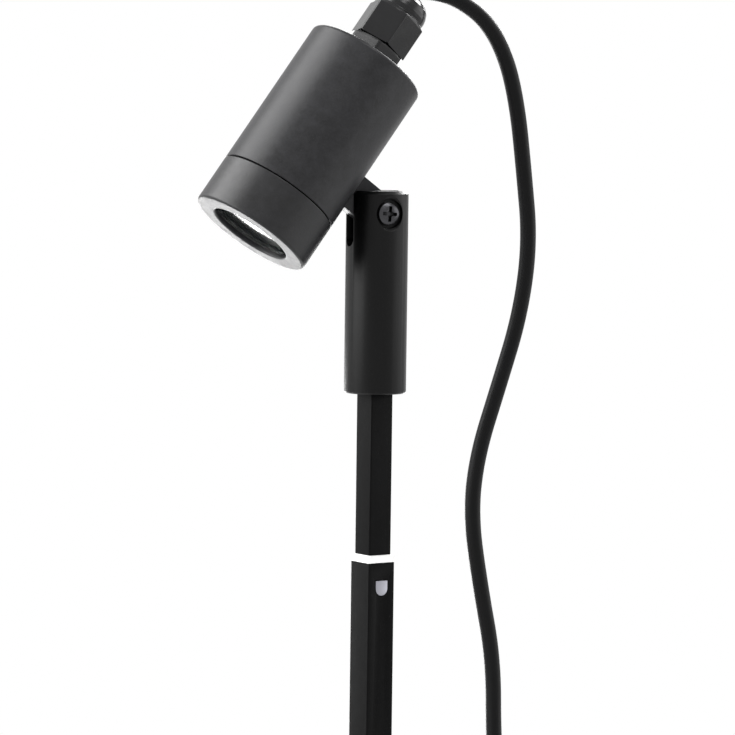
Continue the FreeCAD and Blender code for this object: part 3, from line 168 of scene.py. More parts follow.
class Recipe:
    # the nodes of a material or of the world: node() adds any node, the rest are shorthands for it
    def __init__(self, owner):
        self.owner = owner
        owner.use_nodes = True
        self.tree = owner.node_tree
        self.tree.nodes.clear()

    def node(self, kind, settings=None, values=None, output=0):
        # settings belong to the node itself; values are numbers, colours or wires for its sockets
        node = self.tree.nodes.new(kind)
        for key, value in (settings or {}).items():
            setattr(node, key, value)
        for key, value in (values or {}).items():
            if isinstance(value, Wire):
                self.tree.links.new(value.socket, node.inputs[key])
            elif value is not None:
                node.inputs[key].default_value = value
        return Wire(self, node.outputs[output]) if node.outputs else None

    @property
    def spot(self):
        return self.node("ShaderNodeTexCoord", output="Object")

    def noise(self, size, detail, roughness=0.5):
        # noise whose features are about size millimetres across
        return self.node("ShaderNodeTexNoise", {}, {
            "Vector": self.spot, "Scale": 1.0 / (size * mm), "Detail": detail, "Roughness": roughness}, "Fac")

    def ramp(self, share, span, low=0.0, high=1.0):
        # low where the share is below the span, high where it is above
        return self.node("ShaderNodeMapRange", {"clamp": True}, {
            "Value": share, "From Min": span[0], "From Max": span[1], "To Min": low, "To Max": high})

    def mixed(self, first, second, share):
        # the first value by its share and the second by the rest
        return first * share + second * (1 - share)

    def tint(self, first, second, share):
        # the first colour where the share is 0, the second where it is 1
        first, second = (value if isinstance(value, Wire) else (*value, 1) for value in (first, second))
        return self.node("ShaderNodeMix", {"data_type": "RGBA"}, {0: share, 6: first, 7: second}, 2)

    def roughness(self, look, share):
        # the look's roughness, drifting with the share of a noise, most of which lies in its usual span
        return self.ramp(share, usualNoise, look["rough"] - look["roughDrift"], look["rough"] + look["roughDrift"])

    def bump(self, height, depth, before=None):
        # depth in millimetres
        return self.node("ShaderNodeBump", {}, {"Height": height, "Distance": depth * mm, "Normal": before})

    def surface(self, **values):
        named = {key.replace("_", " "): value for key, value in values.items()}
        return self.node("ShaderNodeBsdfPrincipled", {}, named)

    def finish(self, shader):
        kind = "World" if isinstance(self.owner, bpy.types.World) else "Material"
        self.node("ShaderNodeOutput" + kind, {}, {"Surface": shader})
        return self.owner


def newMaterial(name):
    return Recipe(bpy.data.materials.new(name))


def shades(look):
    # the darkest and the lightest colour that a finish drifts between
    return [[value * (1 + way * look["drift"]) for value in look["colour"]] for way in (-1, 1)]


def powderCoat(name, look):
    # a baked powder coat: pebbled skin, drifting mottles of colour and sheen, a few pale dust specks
    recipe = newMaterial(name)
    pebble = recipe.noise(look["grain"], detail=3.0, roughness=0.65)
    drift = recipe.noise(look["driftSize"], detail=5.0, roughness=0.62)
    speck = recipe.ramp(recipe.noise(look["speckSize"], detail=1.0), look["speckSpan"], high=look["speckShare"])
    mottle = recipe.ramp(recipe.mixed(drift, pebble, look["driftShare"]), look["mottleSpan"])
    colour = recipe.tint(recipe.tint(*shades(look), mottle), look["speckColour"], speck)
    wavy = recipe.bump(drift, look["waveDepth"])
    return recipe.finish(recipe.surface(
        Base_Color=colour, Roughness=recipe.roughness(look, recipe.mixed(drift, pebble, 0.5)),
        Normal=recipe.bump(pebble, look["depth"], wavy), Specular_IOR_Level=look["specular"]))


def moulded(name, look):
    # moulded nylon or rubber: a faint flow pattern, fine scratches and a soft skin
    recipe = newMaterial(name)
    flow = recipe.noise(look["driftSize"], detail=4.0, roughness=0.6)
    skin = recipe.noise(look["grain"], detail=2.0)
    return recipe.finish(recipe.surface(
        Base_Color=recipe.tint(*shades(look), flow),
        Roughness=recipe.roughness(look, recipe.mixed(flow, skin, look["driftShare"])),
        Normal=recipe.bump(skin, look["depth"]), Specular_IOR_Level=look["specular"]))


def machined(name, look):
    # plated or bare metal: fine marks, cloudy plating and, on a screw, painted shade that darkens its recess
    recipe = newMaterial(name)
    marks = recipe.noise(look["grain"], detail=2.0, roughness=0.6)
    cloud = recipe.noise(look["driftSize"], detail=3.0)
    colour = recipe.tint(shades(look)[0], look["colour"], recipe.mixed(cloud, marks, look["driftShare"]))
    if "grimeReach" in look:
        # painted shade darkens what lies deeper than its reach in a recess
        paintedShade = recipe.node("ShaderNodeAmbientOcclusion", {"samples": 8}, {"Distance": look["grimeReach"] * mm}, "AO")
        colour = recipe.tint(look["grimeColour"], colour, recipe.ramp(paintedShade, look["grimeSpan"]))
    return recipe.finish(recipe.surface(
        Base_Color=colour, Roughness=recipe.roughness(look, recipe.mixed(marks, cloud, 0.5)), Metallic=1.0,
        Normal=recipe.bump(marks, look["depth"])))


def clearGlass(name, look):
    # clear glass with a faint film of dust that dulls it in places
    recipe = newMaterial(name)
    film = recipe.noise(look["driftSize"], detail=4.0, roughness=0.6)
    rough = recipe.ramp(film, look["filmSpan"], look["rough"], look["rough"] + look["roughDrift"])
    return recipe.finish(recipe.surface(
        Base_Color=(*look["colour"], 1), Roughness=rough, IOR=1.5, Transmission_Weight=1.0))


# what the finishes of one kind share: sizes and depths in millimetres, spans as the values that a ramp runs between
coat = {
    "grain": 1.0, "depth": 0.045, "driftSize": 5.0, "waveDepth": 0.07, "drift": 0.22, "driftShare": 0.65,
    "mottleSpan": (0.34, 0.66), "rough": 0.42, "roughDrift": 0.08, "speckSize": 0.35, "speckSpan": (0.70, 0.76),
    "speckShare": 0.08, "speckColour": (0.20, 0.20, 0.20),
}
soft = {
    "grain": 0.25, "depth": 0.006, "driftSize": 6.0, "drift": 0.08, "driftShare": 0.6, "rough": 0.45,
    "roughDrift": 0.05, "specular": 0.5,
}
metal = {
    "grain": 0.15, "depth": 0.004, "driftSize": 3.0, "drift": 0.15, "driftShare": 0.6, "rough": 0.3,
    "roughDrift": 0.08,
}
dusty = {"roughDrift": 0.05, "filmSpan": (0.4, 0.75)}
# each kind of finish: its maker, what its finishes share and what each of them sets for itself
finishKinds = [
    (powderCoat, coat, {
        "headCoat": {"colour": (0.0100, 0.0100, 0.0112), "specular": 0.26, "drift": 0.5},
        # the bezel's coat is the head's anthracite painted darker: painted shade
        "bezelCoat": {"colour": (0.0045, 0.0045, 0.0053), "specular": 0.34, "drift": 0.5},
        # the stem's coat is the head's anthracite painted near black: painted shade for a stem that stands in the shade
        "stemCoat": {"colour": (0.0004, 0.0004, 0.0005), "rough": 0.37, "specular": 0.17, "depth": 0.03,
                     "waveDepth": 0.02, "roughDrift": 0.04},
        "poleCoat": {"colour": (0.0012, 0.0012, 0.0013), "rough": 0.34, "grain": 0.7, "specular": 0.07,
                     "depth": 0.04, "waveDepth": 0.03},
    }),
    (moulded, soft, {
        "whiteNylon": {"colour": (0.84, 0.84, 0.83), "drift": 0.02},
        "glandNylon": {"colour": (0.009, 0.009, 0.0095), "rough": 0.21, "grain": 0.8, "specular": 0.26},
        "cableRubber": {"colour": (0.005, 0.005, 0.0052), "rough": 0.40, "depth": 0.012, "grain": 0.35,
                        "specular": 0.09},
        "plugRubber": {"colour": (0.014, 0.014, 0.014), "rough": 0.5, "depth": 0.015},
        "silicone": {"colour": (0.10, 0.10, 0.10), "rough": 0.4},
        "blockNylon": {"colour": (0.62, 0.61, 0.58), "rough": 0.4},
        "leadSleeve": {"colour": (0.55, 0.52, 0.44), "rough": 0.7, "depth": 0.03},
        "brownCore": {"colour": (0.12, 0.045, 0.018)},
        "blueCore": {"colour": (0.02, 0.09, 0.32)},
        "earthCore": {"colour": (0.25, 0.42, 0.04), "drift": 0.3},
        "lampPorcelain": {"colour": (0.78, 0.76, 0.72), "rough": 0.6},
    }),
    (machined, metal, {
        "lampReflector": {"colour": (0.80, 0.80, 0.79), "rough": 0.22},
        "zincSteel": {"colour": (0.56, 0.56, 0.58)},
        # the screw's recess and cross get painted shade from ambient occlusion
        "gunSteel": {"colour": (0.058, 0.058, 0.062), "rough": 0.28, "grimeReach": 1.6,
                     "grimeColour": (0.004, 0.004, 0.004), "grimeSpan": (0.55, 0.95)},
        "buttonSteel": {"colour": (0.32, 0.32, 0.355), "rough": 0.42},
        "pinBrass": {"colour": (0.74, 0.71, 0.64), "rough": 0.22},
    }),
    (clearGlass, dusty, {
        "frontGlass": {"colour": (0.86, 0.89, 0.89), "driftSize": 9.0, "rough": 0.10},
        "lampLens": {"colour": (0.90, 0.90, 0.88), "driftSize": 5.0, "rough": 0.08, "roughDrift": 0.08},
    }),
]
finishes = {name: maker(name, {**shared, **own})
            for maker, shared, named in finishKinds for name, own in named.items()}
wearsFinish = {
    "headCoat": ["head_housing", "hinge_tongue"],
    "bezelCoat": ["bezel_ring"],
    "stemCoat": ["stem"],
    "poleCoat": ["upper_pole", "spike_tube", "spike_point"],
    "whiteNylon": ["pole_connector", "hinge_washers"],
    "glandNylon": ["gland_body", "gland_nut", "gland_locknut", "gland_claw"],
    "plugRubber": ["gland_washer", "gland_seal", "housing_o_ring", "coil_tie", "plug_body"],
    "cableRubber": ["cable_in_gland", "cable_upper", "cable_lower", "cable_coil", "cable_end"],
    "zincSteel": ["button_spring", "holder_bracket", "holder_screws", "bracket_screws", "earth_screw",
                  "tongue_screws", "bar_insert", "pole_stud"],
    "buttonSteel": ["snap_button"],
    "gunSteel": ["pivot_screw", "pivot_nut"],
    "pinBrass": ["lamp_pins", "plug_pins", "plug_earth_contacts"],
    "lampReflector": ["lamp_body"],
    "blockNylon": ["terminal_block"],
    "lampPorcelain": ["lamp_holder"],
    "leadSleeve": ["holder_leads"],
    "silicone": ["glass_gasket"],
    "frontGlass": ["front_glass"],
    "lampLens": ["lamp_cover"],
    "brownCore": ["core_brown"],
    "blueCore": ["core_blue"],
    "earthCore": ["core_earth"],
}
finishOf = {name: finishes[finish] for finish, names in wearsFinish.items() for name in names}


def wear(piece, material):
    piece.data.materials.clear()
    piece.data.materials.append(material)


for name, material in finishOf.items():
    wear(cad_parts[name], material)
print("finishes ready:", len(finishes))

# meshes: distances in metres, angles in degrees
meshing = {
    "poleMerge": 1e-7,
    "solidMerge": 1e-6,
    "flatAngle": 0.3,
    "edgeAngle": 30.0,
    "bevelSegments": 3,
}


def shadeSmooth(mesh):
    mesh.polygons.foreach_set("use_smooth", np.ones(len(mesh.polygons), bool))


def meshObject(name, points, faces):
    # points in metres, rows of equally long faces
    mesh = bpy.data.meshes.new(name)
    faces = np.asarray(faces, np.int32)
    mesh.vertices.add(len(points))
    mesh.vertices.foreach_set("co", np.asarray(points, np.float32).ravel())
    mesh.loops.add(faces.size)
    mesh.loops.foreach_set("vertex_index", faces.ravel())
    mesh.polygons.add(len(faces))
    mesh.polygons.foreach_set("loop_start", np.arange(0, faces.size, faces.shape[1], dtype=np.int32))
    mesh.update(calc_edges=True)
    return linked(name, mesh)


def gridFaces(rows, columns, wrapRows, wrapColumns):
    # the quads between neighbouring points of a grid whose rows and columns may close on themselves
    i, j = np.meshgrid(np.arange(rows - (not wrapRows)), np.arange(columns - (not wrapColumns)), indexing="ij")
    nextI, nextJ = (i + 1) % rows, (j + 1) % columns
    quads = [i * columns + j, i * columns + nextJ, nextI * columns + nextJ, nextI * columns + j]
    return np.stack(quads, -1).reshape(-1, 4)


def closeMesh(piece):
    # merges the points of poles and seams, caps open ends, points the faces outwards and shades them smooth
    work = bmesh.new()
    work.from_mesh(piece.data)
    bmesh.ops.remove_doubles(work, verts=work.verts, dist=meshing["poleMerge"])
    bmesh.ops.holes_fill(work, edges=[edge for edge in work.edges if edge.is_boundary], sides=0)
    bmesh.ops.recalc_face_normals(work, faces=work.faces)
    work.to_mesh(piece.data)
    work.free()
    shadeSmooth(piece.data)


def dress(piece, body, *nodes):
    # the new piece moves with a body, stands for its nodes and wears the first one's finish
    wear(piece, finishOf[nodes[0]])
    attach(piece, body)
    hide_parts(*nodes)


def softProfile(corners, rounding=0.15, steps=4, support=0.04, mostOfEdge=0.4, closed=True):
    # a line through (radius, height[, rounding]) corners: each becomes an arc from one edge's tangent point to
    # the next one's that takes at most its share of either edge, with a point just outside each end of the arc so
    # that flats stay flat in the shading
    radii = np.array([corner[2] if len(corner) > 2 else rounding for corner in corners])
    spots = np.array([corner[:2] for corner in corners], float)
    toward, onward = np.roll(spots, 1, 0) - spots, np.roll(spots, -1, 0) - spots
    room = np.minimum(np.linalg.norm(toward, axis=1), np.linalg.norm(onward, axis=1)) * mostOfEdge
    toward /= np.linalg.norm(toward, axis=1)[:, None]
    onward /= np.linalg.norm(onward, axis=1)[:, None]
    half = np.arccos(np.clip((toward * onward).sum(1), -1, 1)) / 2
    back = np.minimum(radii / np.tan(half), room)
    middle = spots + (toward + onward) * (back / (1 + (toward * onward).sum(1)))[:, None]
    first, last = spots + toward * back[:, None] - middle, spots + onward * back[:, None] - middle
    wide = (math.pi - 2 * half)[:, None, None]
    t = np.linspace(0, 1, steps + 1)[None, :, None]
    arcs = middle[:, None] + (np.sin((1 - t) * wide) * first[:, None] + np.sin(t * wide) * last[:, None]) / np.sin(wide)
    before = (spots + toward * (back + support)[:, None])[:, None]
    after = (spots + onward * (back + support)[:, None])[:, None]
    line = np.concatenate([before, arcs, after], 1)
    if closed:
        return line.reshape(-1, 2)
    return np.concatenate([spots[:1], line[1:-1].reshape(-1, 2), spots[-1:]])


def turnedPiece(name, profile, place, sides=160, closed=True, relief=None):
    # the profile's radius and height, carried round the axis; relief(angle, radius, height) is added to the radius
    angle = np.linspace(0, 2 * math.pi, sides, endpoint=False)[None]
    radius, height = profile[:, 0][:, None], profile[:, 1][:, None]
    wide = radius + (relief(angle, radius, height) if relief else 0.0 * angle)
    points = np.stack([wide * np.cos(angle), wide * np.sin(angle), height + 0 * angle], -1)
    piece = meshObject(name, place(points.reshape(-1, 3)) * mm, gridFaces(*wide.shape, closed, True))
    closeMesh(piece)
    return piece


def softCopy(name, node, width):
    # a copy of a solid's mesh, merged and with its flats made one face each, and its edges softened by a bevel
    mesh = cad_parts[node].data.copy()
    work = bmesh.new()
    work.from_mesh(mesh)
    bmesh.ops.remove_doubles(work, verts=work.verts, dist=meshing["solidMerge"])
    bmesh.ops.dissolve_limit(work, angle_limit=math.radians(meshing["flatAngle"]),
                             verts=work.verts, edges=work.edges)
    work.to_mesh(mesh)
    work.free()
    shadeSmooth(mesh)
    piece = linked(name, mesh)
    bevel = piece.modifiers.new("softEdges", "BEVEL")
    bevel.width = width * mm
    bevel.segments = meshing["bevelSegments"]
    bevel.limit_method = "ANGLE"
    bevel.angle_limit = math.radians(meshing["edgeAngle"])
    bevel.harden_normals = True
    return piece


# floor, world and lamps: metres; floorNearWhite is how white the floor shows near the object, where it is also lit
studio = {
    "floorHalf": 12.0,
    "floorColour": (0.85, 0.85, 0.85, 1),
    "floorNearWhite": 0.62,
    "nearToFar": (0.45, 1.0),
    "worldLight": 0.2,
    "white": (1, 1, 1, 1),
}
# spot, target and size in metres, power in watts
lamps = {
    "upperLeft": ((-1.75, 0.8, 2.0), (0, 0, 0.45), (2.6, 1.8), 114.0),
    "upperRight": ((1.9, 0.6, 1.7), (0, 0, 0.45), (1.0, 0.6), 34.0),
    "backRight": ((1.45, 1.6, 1.35), (0, 0, 0.45), (0.9, 0.9), 42.0),
    "topFront": ((0.3, -1.5, 2.6), (0, 0, 0.4), (1.6, 1.0), 30.0),
    "sideLeft": ((-2.25, 0.25, 0.75), (0, 0, 0.35), (2.2, 1.5), 44.0),
    "sideRight": ((2.05, -0.85, 0.7), (0, 0, 0.35), (2.2, 1.4), 17.0),
    "lowBack": ((0.2, 1.0, 0.12), (0, 0, 0.41), (1.0, 0.22), 5.7),
}


def plainRays(recipe):
    # 1 for what the camera, a glossy ray or a transmission ray sees, else 0
    camera, glossy, through = (recipe.node("ShaderNodeLightPath", output=ray)
                               for ray in ("Is Camera Ray", "Is Glossy Ray", "Is Transmission Ray"))
    return camera.larger(glossy).larger(through)


def paleFloor():
    # white to the camera and in reflections far off, and near the object partly lit so that its shadow stays
    recipe = newMaterial("paleFloor")
    reach = recipe.node("ShaderNodeVectorMath", {"operation": "LENGTH"}, {0: recipe.spot}, "Value")
    share = plainRays(recipe) * recipe.ramp(reach, studio["nearToFar"], studio["floorNearWhite"], 1.0)
    matt = recipe.node("ShaderNodeBsdfDiffuse", {}, {"Color": studio["floorColour"]})
    white = recipe.node("ShaderNodeEmission", {}, {"Color": studio["white"], "Strength": 1.0})
    return recipe.finish(recipe.node("ShaderNodeMixShader", {}, {0: share, 1: matt, 2: white}))


def makeFloor():
    half = studio["floorHalf"]
    floor = meshObject("floor", [(-half, -half, 0), (half, -half, 0), (half, half, 0), (-half, half, 0)],
                       [(0, 1, 2, 3)])
    wear(floor, paleFloor())


def makeWorld():
    # plain white in sight and in reflections, and dimmer where it lights a surface
    world = bpy.data.worlds.new("studio")
    bpy.context.scene.world = world
    recipe = Recipe(world)
    dim, plain = (recipe.node("ShaderNodeBackground", {}, {"Color": studio["white"], "Strength": strength})
                  for strength in (studio["worldLight"], 1.0))
    recipe.finish(recipe.node("ShaderNodeMixShader", {}, {0: plainRays(recipe), 1: dim, 2: plain}))


def softLamp(name, spot, target, size, power):
    # a square or oblong area light that faces its target, its longer way level
    data = bpy.data.lights.new(name, "AREA")
    data.shape = "RECTANGLE"
    data.size, data.size_y = size
    data.energy = power
    spot, target = np.array(spot, float), np.array(target, float)
    back = (spot - target) / np.linalg.norm(spot - target)
    side = np.cross(zAxis, back)
    side /= np.linalg.norm(side)
    linked(name, data).matrix_world = poseOf(side, np.cross(back, side), back, spot)


makeFloor()
makeWorld()
for name, settings in lamps.items():
    softLamp(name, *settings)
print("stage ready")

# head shell, bezel and glass: millimetres, along the head's axis from the front face
shell = {
    "radius": 30.0,
    "frontRound": 1.5,
    "seam": 24.0,
    "seamGap": 0.5,
    "seamRound": 0.5,
    "shoulderRound": 0.1,
    "back": 102.0,
    "rimRound": 1.7,
    "innerRound": 1.0,
    "edgeRound": 0.3,
    "boreRound": 0.2,
    "wall": 3.0,
    "backWall": 4.0,
    "glandHole": 10.05,
    "bezelWall": 2.5,
    "bezelFront": 2.4,
    "windowRadius": 20.0,
    "windowRound": 1.1,
    "neckRadius": 27.3,
    "neckBore": 25.3,
    "neckFront": 8.4,
    "groove": (19.7, 21.5, 25.7),
    "threadDepth": 0.45,
    "threadPitch": 2.0,
    "threadFrom": 10.4,
    "threadTo": 18.6,
    "threadRows": 56,
    "threadMargin": 0.4,
    "threadFade": 0.6,  # the run-out at both ends
    "threadSlope": 1.6,  # the wave is stretched by the slope and lowered by the land, then clipped
    "threadLand": 0.3,
    "onNeck": 0.01,  # how near to the neck's radius counts as on it
    "housingSteps": 5,
    "bezelSteps": 8,
    "sides": 256,
}


def neckThread(angle, radius, height):
    # on the neck, less radius in a groove that winds round the axis once per pitch: a clipped triangle wave of
    # the height over the pitch less the turns about the axis, fading out at both ends
    size = shell
    turns = height / size["threadPitch"] - angle / (2 * math.pi)
    wave = np.clip(abs((turns % 1.0) * 2 - 1) * size["threadSlope"] - size["threadLand"], 0, 1)
    inFromEnd = np.minimum(height - size["threadFrom"], size["threadTo"] - height)
    onNeck = abs(radius - size["neckRadius"]) < size["onNeck"]
    return -size["threadDepth"] * wave * np.clip(inFromEnd / size["threadFade"], 0, 1) * onNeck


def makeShell():
    size = shell
    low, high, floor = size["groove"]
    shoulder = size["seam"] + size["seamGap"]
    inner = size["radius"] - size["wall"]
    backFace = size["back"] - size["backWall"]
    housing = softProfile([
        (size["neckBore"], size["neckFront"]), (size["neckRadius"], size["neckFront"], size["edgeRound"]),
        (size["neckRadius"], low), (floor, low), (floor, high), (size["neckRadius"], high),
        (size["neckRadius"], shoulder, size["shoulderRound"]), (size["radius"], shoulder, size["seamRound"]),
        (size["radius"], size["back"], size["rimRound"]), (size["glandHole"], size["back"]),
        (size["glandHole"], backFace), (inner, backFace, size["innerRound"]),
        (inner, shoulder + size["wall"], size["innerRound"]), (size["neckBore"], shoulder + size["wall"])],
        steps=size["housingSteps"])
    # rows along the neck for its thread
    rows = np.linspace(size["threadFrom"] - size["threadMargin"], size["threadTo"] + size["threadMargin"],
                       size["threadRows"])
    neck = np.stack([np.full(len(rows), size["neckRadius"]), rows], 1)
    housing = np.insert(housing, np.argmax(housing[:, 1] > size["threadFrom"]), neck, axis=0)
    dress(turnedPiece("headShell", housing, headPlace, size["sides"], relief=neckThread), "head", "head_housing")
    bore = size["radius"] - size["bezelWall"]
    ring = softProfile([
        (size["windowRadius"], 0.0, size["windowRound"]), (size["radius"], 0.0, size["frontRound"]),
        (size["radius"], size["seam"], size["seamRound"]), (bore, size["seam"], size["boreRound"]),
        (bore, size["bezelFront"], size["edgeRound"]), (size["windowRadius"], size["bezelFront"], size["edgeRound"])],
        steps=size["bezelSteps"])
    dress(turnedPiece("bezelRing", ring, headPlace, size["sides"]), "bezel", "bezel_ring")


glass = {"front": 3.95, "back": 7.3, "radius": 25.2, "edge": 0.4, "sides": 128}


def makeGlass():
    pane = softProfile([
        (0.0, glass["front"]), (glass["radius"], glass["front"], glass["edge"]),
        (glass["radius"], glass["back"], glass["edge"]), (0.0, glass["back"])], closed=False)
    dress(turnedPiece("glassPane", pane, headPlace, glass["sides"], closed=False), "glass_pack", "front_glass")


makeShell()
makeGlass()
print("head shell ready")

# cable gland: millimetres, heights above the housing's back
gland = {
    "flats": 26.0,
    "cornerSharpness": 60,  # the power of the mean that rounds the corners
    "softness": 0.25,  # how softly a chamfer runs into a flat
    "round": 0.25,
    "roundSteps": 4,
    "sides": 480,
    "washerRadius": 12.6,
    "washer": 1.2,
    "washerRound": 0.35,
    "washerClearance": 0.05,
    "bodyTurn": 8.0,
    "thread": 10.0,
    "threadEnd": -10.0,
    "threadRound": 0.5,
    "throat": 5.1,
    "bodyTop": 8.8,
    "bodyBevel": 0.9,
    "bodyBevelIn": 0.9,
    "bodyTopIn": 1.2,
    "clawOuter": 9.8,
    "clawInner": 8.4,
    "clawTop": 25.9,
    "nutTurn": 21.0,
    "nutFoot": 9.35,
    "nutBevel": 0.6,
    "nutShoulder": 26.4,
    "nutRound": 0.3,
    "bore": 9.9,
    "boreTop": 27.3,
    "sealTop": 32.7,
    "mouth": 5.8,
    "mouthBore": 5.0,
    "mouthDepth": 1.6,
    "tip": 38.9,
    "pastCorner": 0.4,  # the turned profile stands this far past the corners
    "pastThread": 0.3,  # the hexagon cuts only what is this far outside the thread
    "domeRound": 0.6,
}
# the domed end of the nut, as (radius, height)
glandDome = [(12.5, 28.2), (12.85, 29.6), (12.9, 30.8), (12.6, 32.7), (11.6, 35.2), (9.9, 37.1), (8.0, 38.2)]


def sixSided(angle, radius, turn):
    # the smaller of the turned radius and a hexagon's, blended; the hexagon's radius is half its flats over the
    # power mean of the cosines to its three flat directions, which rounds its corners a little
    away = angle[..., None] - math.radians(turn) - np.radians([30.0, 90.0, 150.0])
    power = gland["cornerSharpness"]
    flats = gland["flats"] / 2 / (np.abs(np.cos(away)) ** power).sum(-1) ** (1 / power)
    gap = flats - radius
    return (flats + radius - np.sqrt(gap * gap + gland["softness"] ** 2)) / 2


def hexPiece(name, corners, turn):
    # a turned profile cut by a hexagon, so that its chamfers leave scallops on the flats
    raised = [(radius, shell["back"] + height, *rounding) for radius, height, *rounding in corners]
    profile = softProfile(raised, gland["round"], gland["roundSteps"])
    outside = gland["thread"] + gland["pastThread"]
    return turnedPiece(name, profile, headPlace, gland["sides"], relief=lambda angle, radius, height: np.where(
        radius > outside, sixSided(angle + 0 * radius, radius, turn) - radius, 0.0))


def makeGland():
    size = gland
    corner = size["flats"] / 2 / math.cos(math.radians(30))
    wide = corner + size["pastCorner"]
    bore, foot, top = size["thread"] + size["washerClearance"], shell["back"], shell["back"] + size["washer"]
    washer = softProfile([
        (bore, foot), (size["washerRadius"], foot), (size["washerRadius"], top, size["washerRound"]), (bore, top)])
    dress(turnedPiece("glandWasher", washer, headPlace), "head", "gland_washer")
    body = hexPiece("glandHexBody", [
        (size["throat"], size["threadEnd"]), (size["thread"], size["threadEnd"], size["threadRound"]),
        (size["thread"], size["washer"]), (corner - size["bodyBevelIn"], size["washer"]),
        (wide, size["washer"] + size["bodyBevel"]), (wide, size["bodyTop"] - size["bodyBevel"]),
        (corner - size["bodyTopIn"], size["bodyTop"]), (size["clawOuter"], size["bodyTop"]),
        (size["clawOuter"], size["clawTop"]), (size["clawInner"], size["clawTop"]),
        (size["clawInner"], size["bodyTop"]), (size["throat"], size["bodyTop"])], size["bodyTurn"])
    dress(body, "head", "gland_body")
    nut = hexPiece("glandDomeNut", [
        (size["bore"], size["nutFoot"]), (corner - size["nutBevel"], size["nutFoot"]),
        (wide, size["nutFoot"] + size["nutBevel"]), (wide, size["nutShoulder"], size["nutRound"]),
        *[(radius, height, size["domeRound"]) for radius, height in glandDome],
        (size["mouth"], size["tip"], size["nutRound"]), (size["mouthBore"], size["tip"], size["nutRound"]),
        (size["mouthBore"], size["tip"] - size["mouthDepth"]), (size["clawInner"], size["sealTop"]),
        (size["clawInner"], size["boreTop"]), (size["bore"], size["boreTop"])], size["nutTurn"])
    dress(nut, "head", "gland_nut")


makeGland()
print("gland ready")

# copies of the solids with softened edges: each one's name, its body and its edge width in millimetres
softened = {
    "hinge_tongue": ("hingeTongue", "head", 0.3),
    "stem": ("slottedStem", "pole", 0.3),
    "pivot_screw": ("pivotScrew", "pole", 0.12),
    "pivot_nut": ("pivotNut", "pole", 0.2),
    "upper_pole": ("upperPole", "pole", 0.25),
    "pole_connector": ("poleConnector", "pole", 0.15),
    "spike_tube": ("spikeTube", "pole", 0.25),
    "spike_point": ("spikePoint", "pole", 0.3),
    "snap_button": ("snapButton", "snap_button", 0.12),
    "plug_body": ("plugBody", "pole", 0.6),
    "plug_pins": ("plugPins", "pole", 0.2),
    "plug_earth_contacts": ("plugContacts", "pole", 0.15),
    "coil_tie": ("coilTie", "pole", 0.15),
}
for node, (name, body, width) in softened.items():
    dress(softCopy(name, node, width), body, node)
print("pole pieces ready")

# the lead: millimetres in the frame, but overPivot from the pivot, insideFoot along the head's axis and the ends of
# the bend in metres
lead = {
    "radius": 3.9,
    "exitInset": 3.6,
    "exitRun": 4.6,
    "startInset": 1.0,
    "insideFoot": 90.05,
    "overPivot": [
        (21.5, 0.0, 106.8), (30.5, 0.0, 106.0), (41.5, -0.5, 103.5), (57.5, -1.0, 93.5), (69.0, -1.0, 75.0),
        (76.0, 0.0, 50.5), (80.5, 1.0, 20.0), (84.5, 1.0, -14.5), (80.5, 2.5, -50.5), (69.5, 4.0, -86.5),
        (59.0, 4.5, -118.5),
    ],
    "overFloor": [
        (54.8, 3.0, 312.0), (59.9, 1.0, 276.0), (67.2, 0.0, 240.0), (66.2, -3.0, 200.0), (66.5, -12.0, 150.0),
        (62.5, -25.0, 104.0), (64.0, -34.0, 66.0), (68.0, -34.0, 38.0), (80.5, -34.0, 17.0), (101.0, -34.0, 5.25),
    ],
    "coilCentre": (130.0, 12.0),
    "coilRadius": 46.0,
    "coilPitch": 8.5,
    "layerTurns": 1.75,
    "floorLevel": 5.25,
    "tail": [(112.0, 58.0, 13.75), (80.0, 58.0, 19.05), (62.0, 58.0, 19.05), (50.0, 58.0, 19.05)],
    "perTurn": 16,
    "resolution": 12,
    "stubRows": 60,
    "sides": 28,
    "spacing": 1.5,
    "bendStart": (0.080, 0.0, 0.265),
    "bendEnd": (0.0, 0.0, 0.560),
}


glandTip = shell["back"] + gland["tip"]


def leadRoute():
    # out of the gland, down to the floor, round the coil and into the plug
    mouth = headPlace([0, 0, glandTip - lead["exitInset"]])
    start = headPlace([0, 0, glandTip - lead["startInset"]])
    points = [start, mouth + headPlace.turn @ zAxis * lead["exitRun"]]
    points += [*(np.array(headPose["pivot"]) + lead["overPivot"]), *np.array(lead["overFloor"])]
    # the coil: in at a steady rate and out again, one layer up in the half turn where it reverses
    half = lead["layerTurns"]
    t = np.linspace(0, 2 * half, int(round(2 * half * lead["perTurn"])) + 1)
    reach = lead["coilRadius"] - lead["coilPitch"] * (half - abs(t - half))
    share = np.clip((t - half) * 2 + 0.5, 0, 1)
    lift = lead["coilPitch"] * share * share * (3 - 2 * share)
    # the spline passes inside its control points, at three quarters of each one and an eighth of each neighbour,
    # so they lie that much further out
    reach = reach / (0.75 + 0.25 * math.cos(2 * math.pi / lead["perTurn"]))
    angle = 2 * math.pi * t - math.pi / 2
    cx, cy = lead["coilCentre"]
    coil = np.stack([cx + reach * np.cos(angle), cy + reach * np.sin(angle), lead["floorLevel"] + lift], 1)
    return np.array([*points, *coil, *np.array(lead["tail"])])


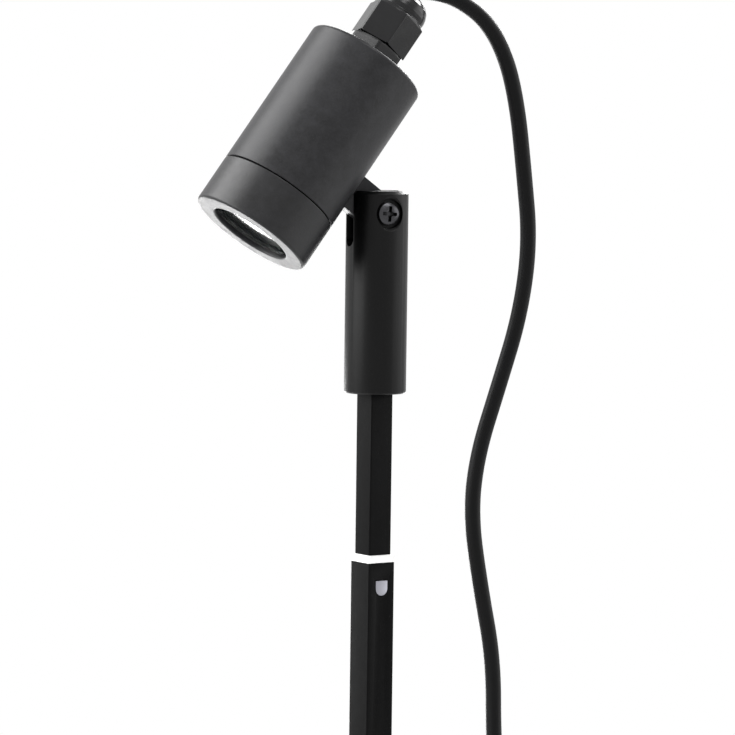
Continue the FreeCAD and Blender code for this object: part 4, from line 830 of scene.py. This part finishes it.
def splinePoints(points, resolution):
    # the points along a quadratic NURBS spline through these control points
    curve = bpy.data.curves.new("route", "CURVE")
    curve.dimensions = "3D"
    spline = curve.splines.new("NURBS")
    spline.points.add(len(points) - 1)
    spline.points.foreach_set("co", np.c_[points, np.ones(len(points))].ravel())
    spline.order_u = 3
    spline.use_endpoint_u = True
    spline.resolution_u = resolution
    holder = linked("route", curve)
    mesh = bpy.data.meshes.new_from_object(holder)
    found = np.zeros(len(mesh.vertices) * 3)
    mesh.vertices.foreach_get("co", found)
    bpy.data.meshes.remove(mesh)
    bpy.data.objects.remove(holder)
    bpy.data.curves.remove(curve)
    return found.reshape(-1, 3)


def evenly(path, spacing):
    # the same line with its points evenly spaced
    steps = np.linalg.norm(np.diff(path, axis=0), axis=1)
    along = np.r_[0, np.cumsum(steps)]
    marks = np.linspace(0, along[-1], int(along[-1] / spacing) + 1)
    return np.stack([np.interp(marks, along, path[:, k]) for k in range(3)], 1)


def tubeFrames(path):
    # ways along the path, and a side direction carried along it with no twist
    ways = np.gradient(path, axis=0)
    ways /= np.linalg.norm(ways, axis=1)[:, None]
    side = np.cross(ways[0], [0.0, 1.0, 0.0])
    sides = np.empty_like(path)
    for index, way in enumerate(ways):
        side = side - way * (side @ way)
        side /= np.linalg.norm(side)
        sides[index] = side
    return sides, np.cross(ways, sides)


def tube(name, path, radius, sides):
    # a round tube: a circle about each of the path's points, square to the path
    first, second = tubeFrames(path)
    angle = np.linspace(0, 2 * math.pi, sides, endpoint=False)[None, :, None]
    points = path[:, None] + (first[:, None] * np.cos(angle) + second[:, None] * np.sin(angle)) * radius
    piece = meshObject(name, points.reshape(-1, 3), gridFaces(len(path), sides, False, True))
    closeMesh(piece)
    return piece


def makeLead():
    path = evenly(splinePoints(leadRoute() * mm, lead["resolution"]), lead["spacing"] * mm)
    piece = tube("lead", path, lead["radius"] * mm, lead["sides"])
    wear(piece, finishes["cableRubber"])
    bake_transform(piece)
    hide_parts("cable_upper", "cable_lower", "cable_coil", "cable_end")
    stub = np.linspace(lead["insideFoot"], glandTip - lead["startInset"], lead["stubRows"])
    inside = headPlace(np.stack([0 * stub, 0 * stub, stub], 1)) * mm
    dress(tube("leadInGland", inside, lead["radius"] * mm, lead["sides"]), "head", "cable_in_gland")


makeLead()
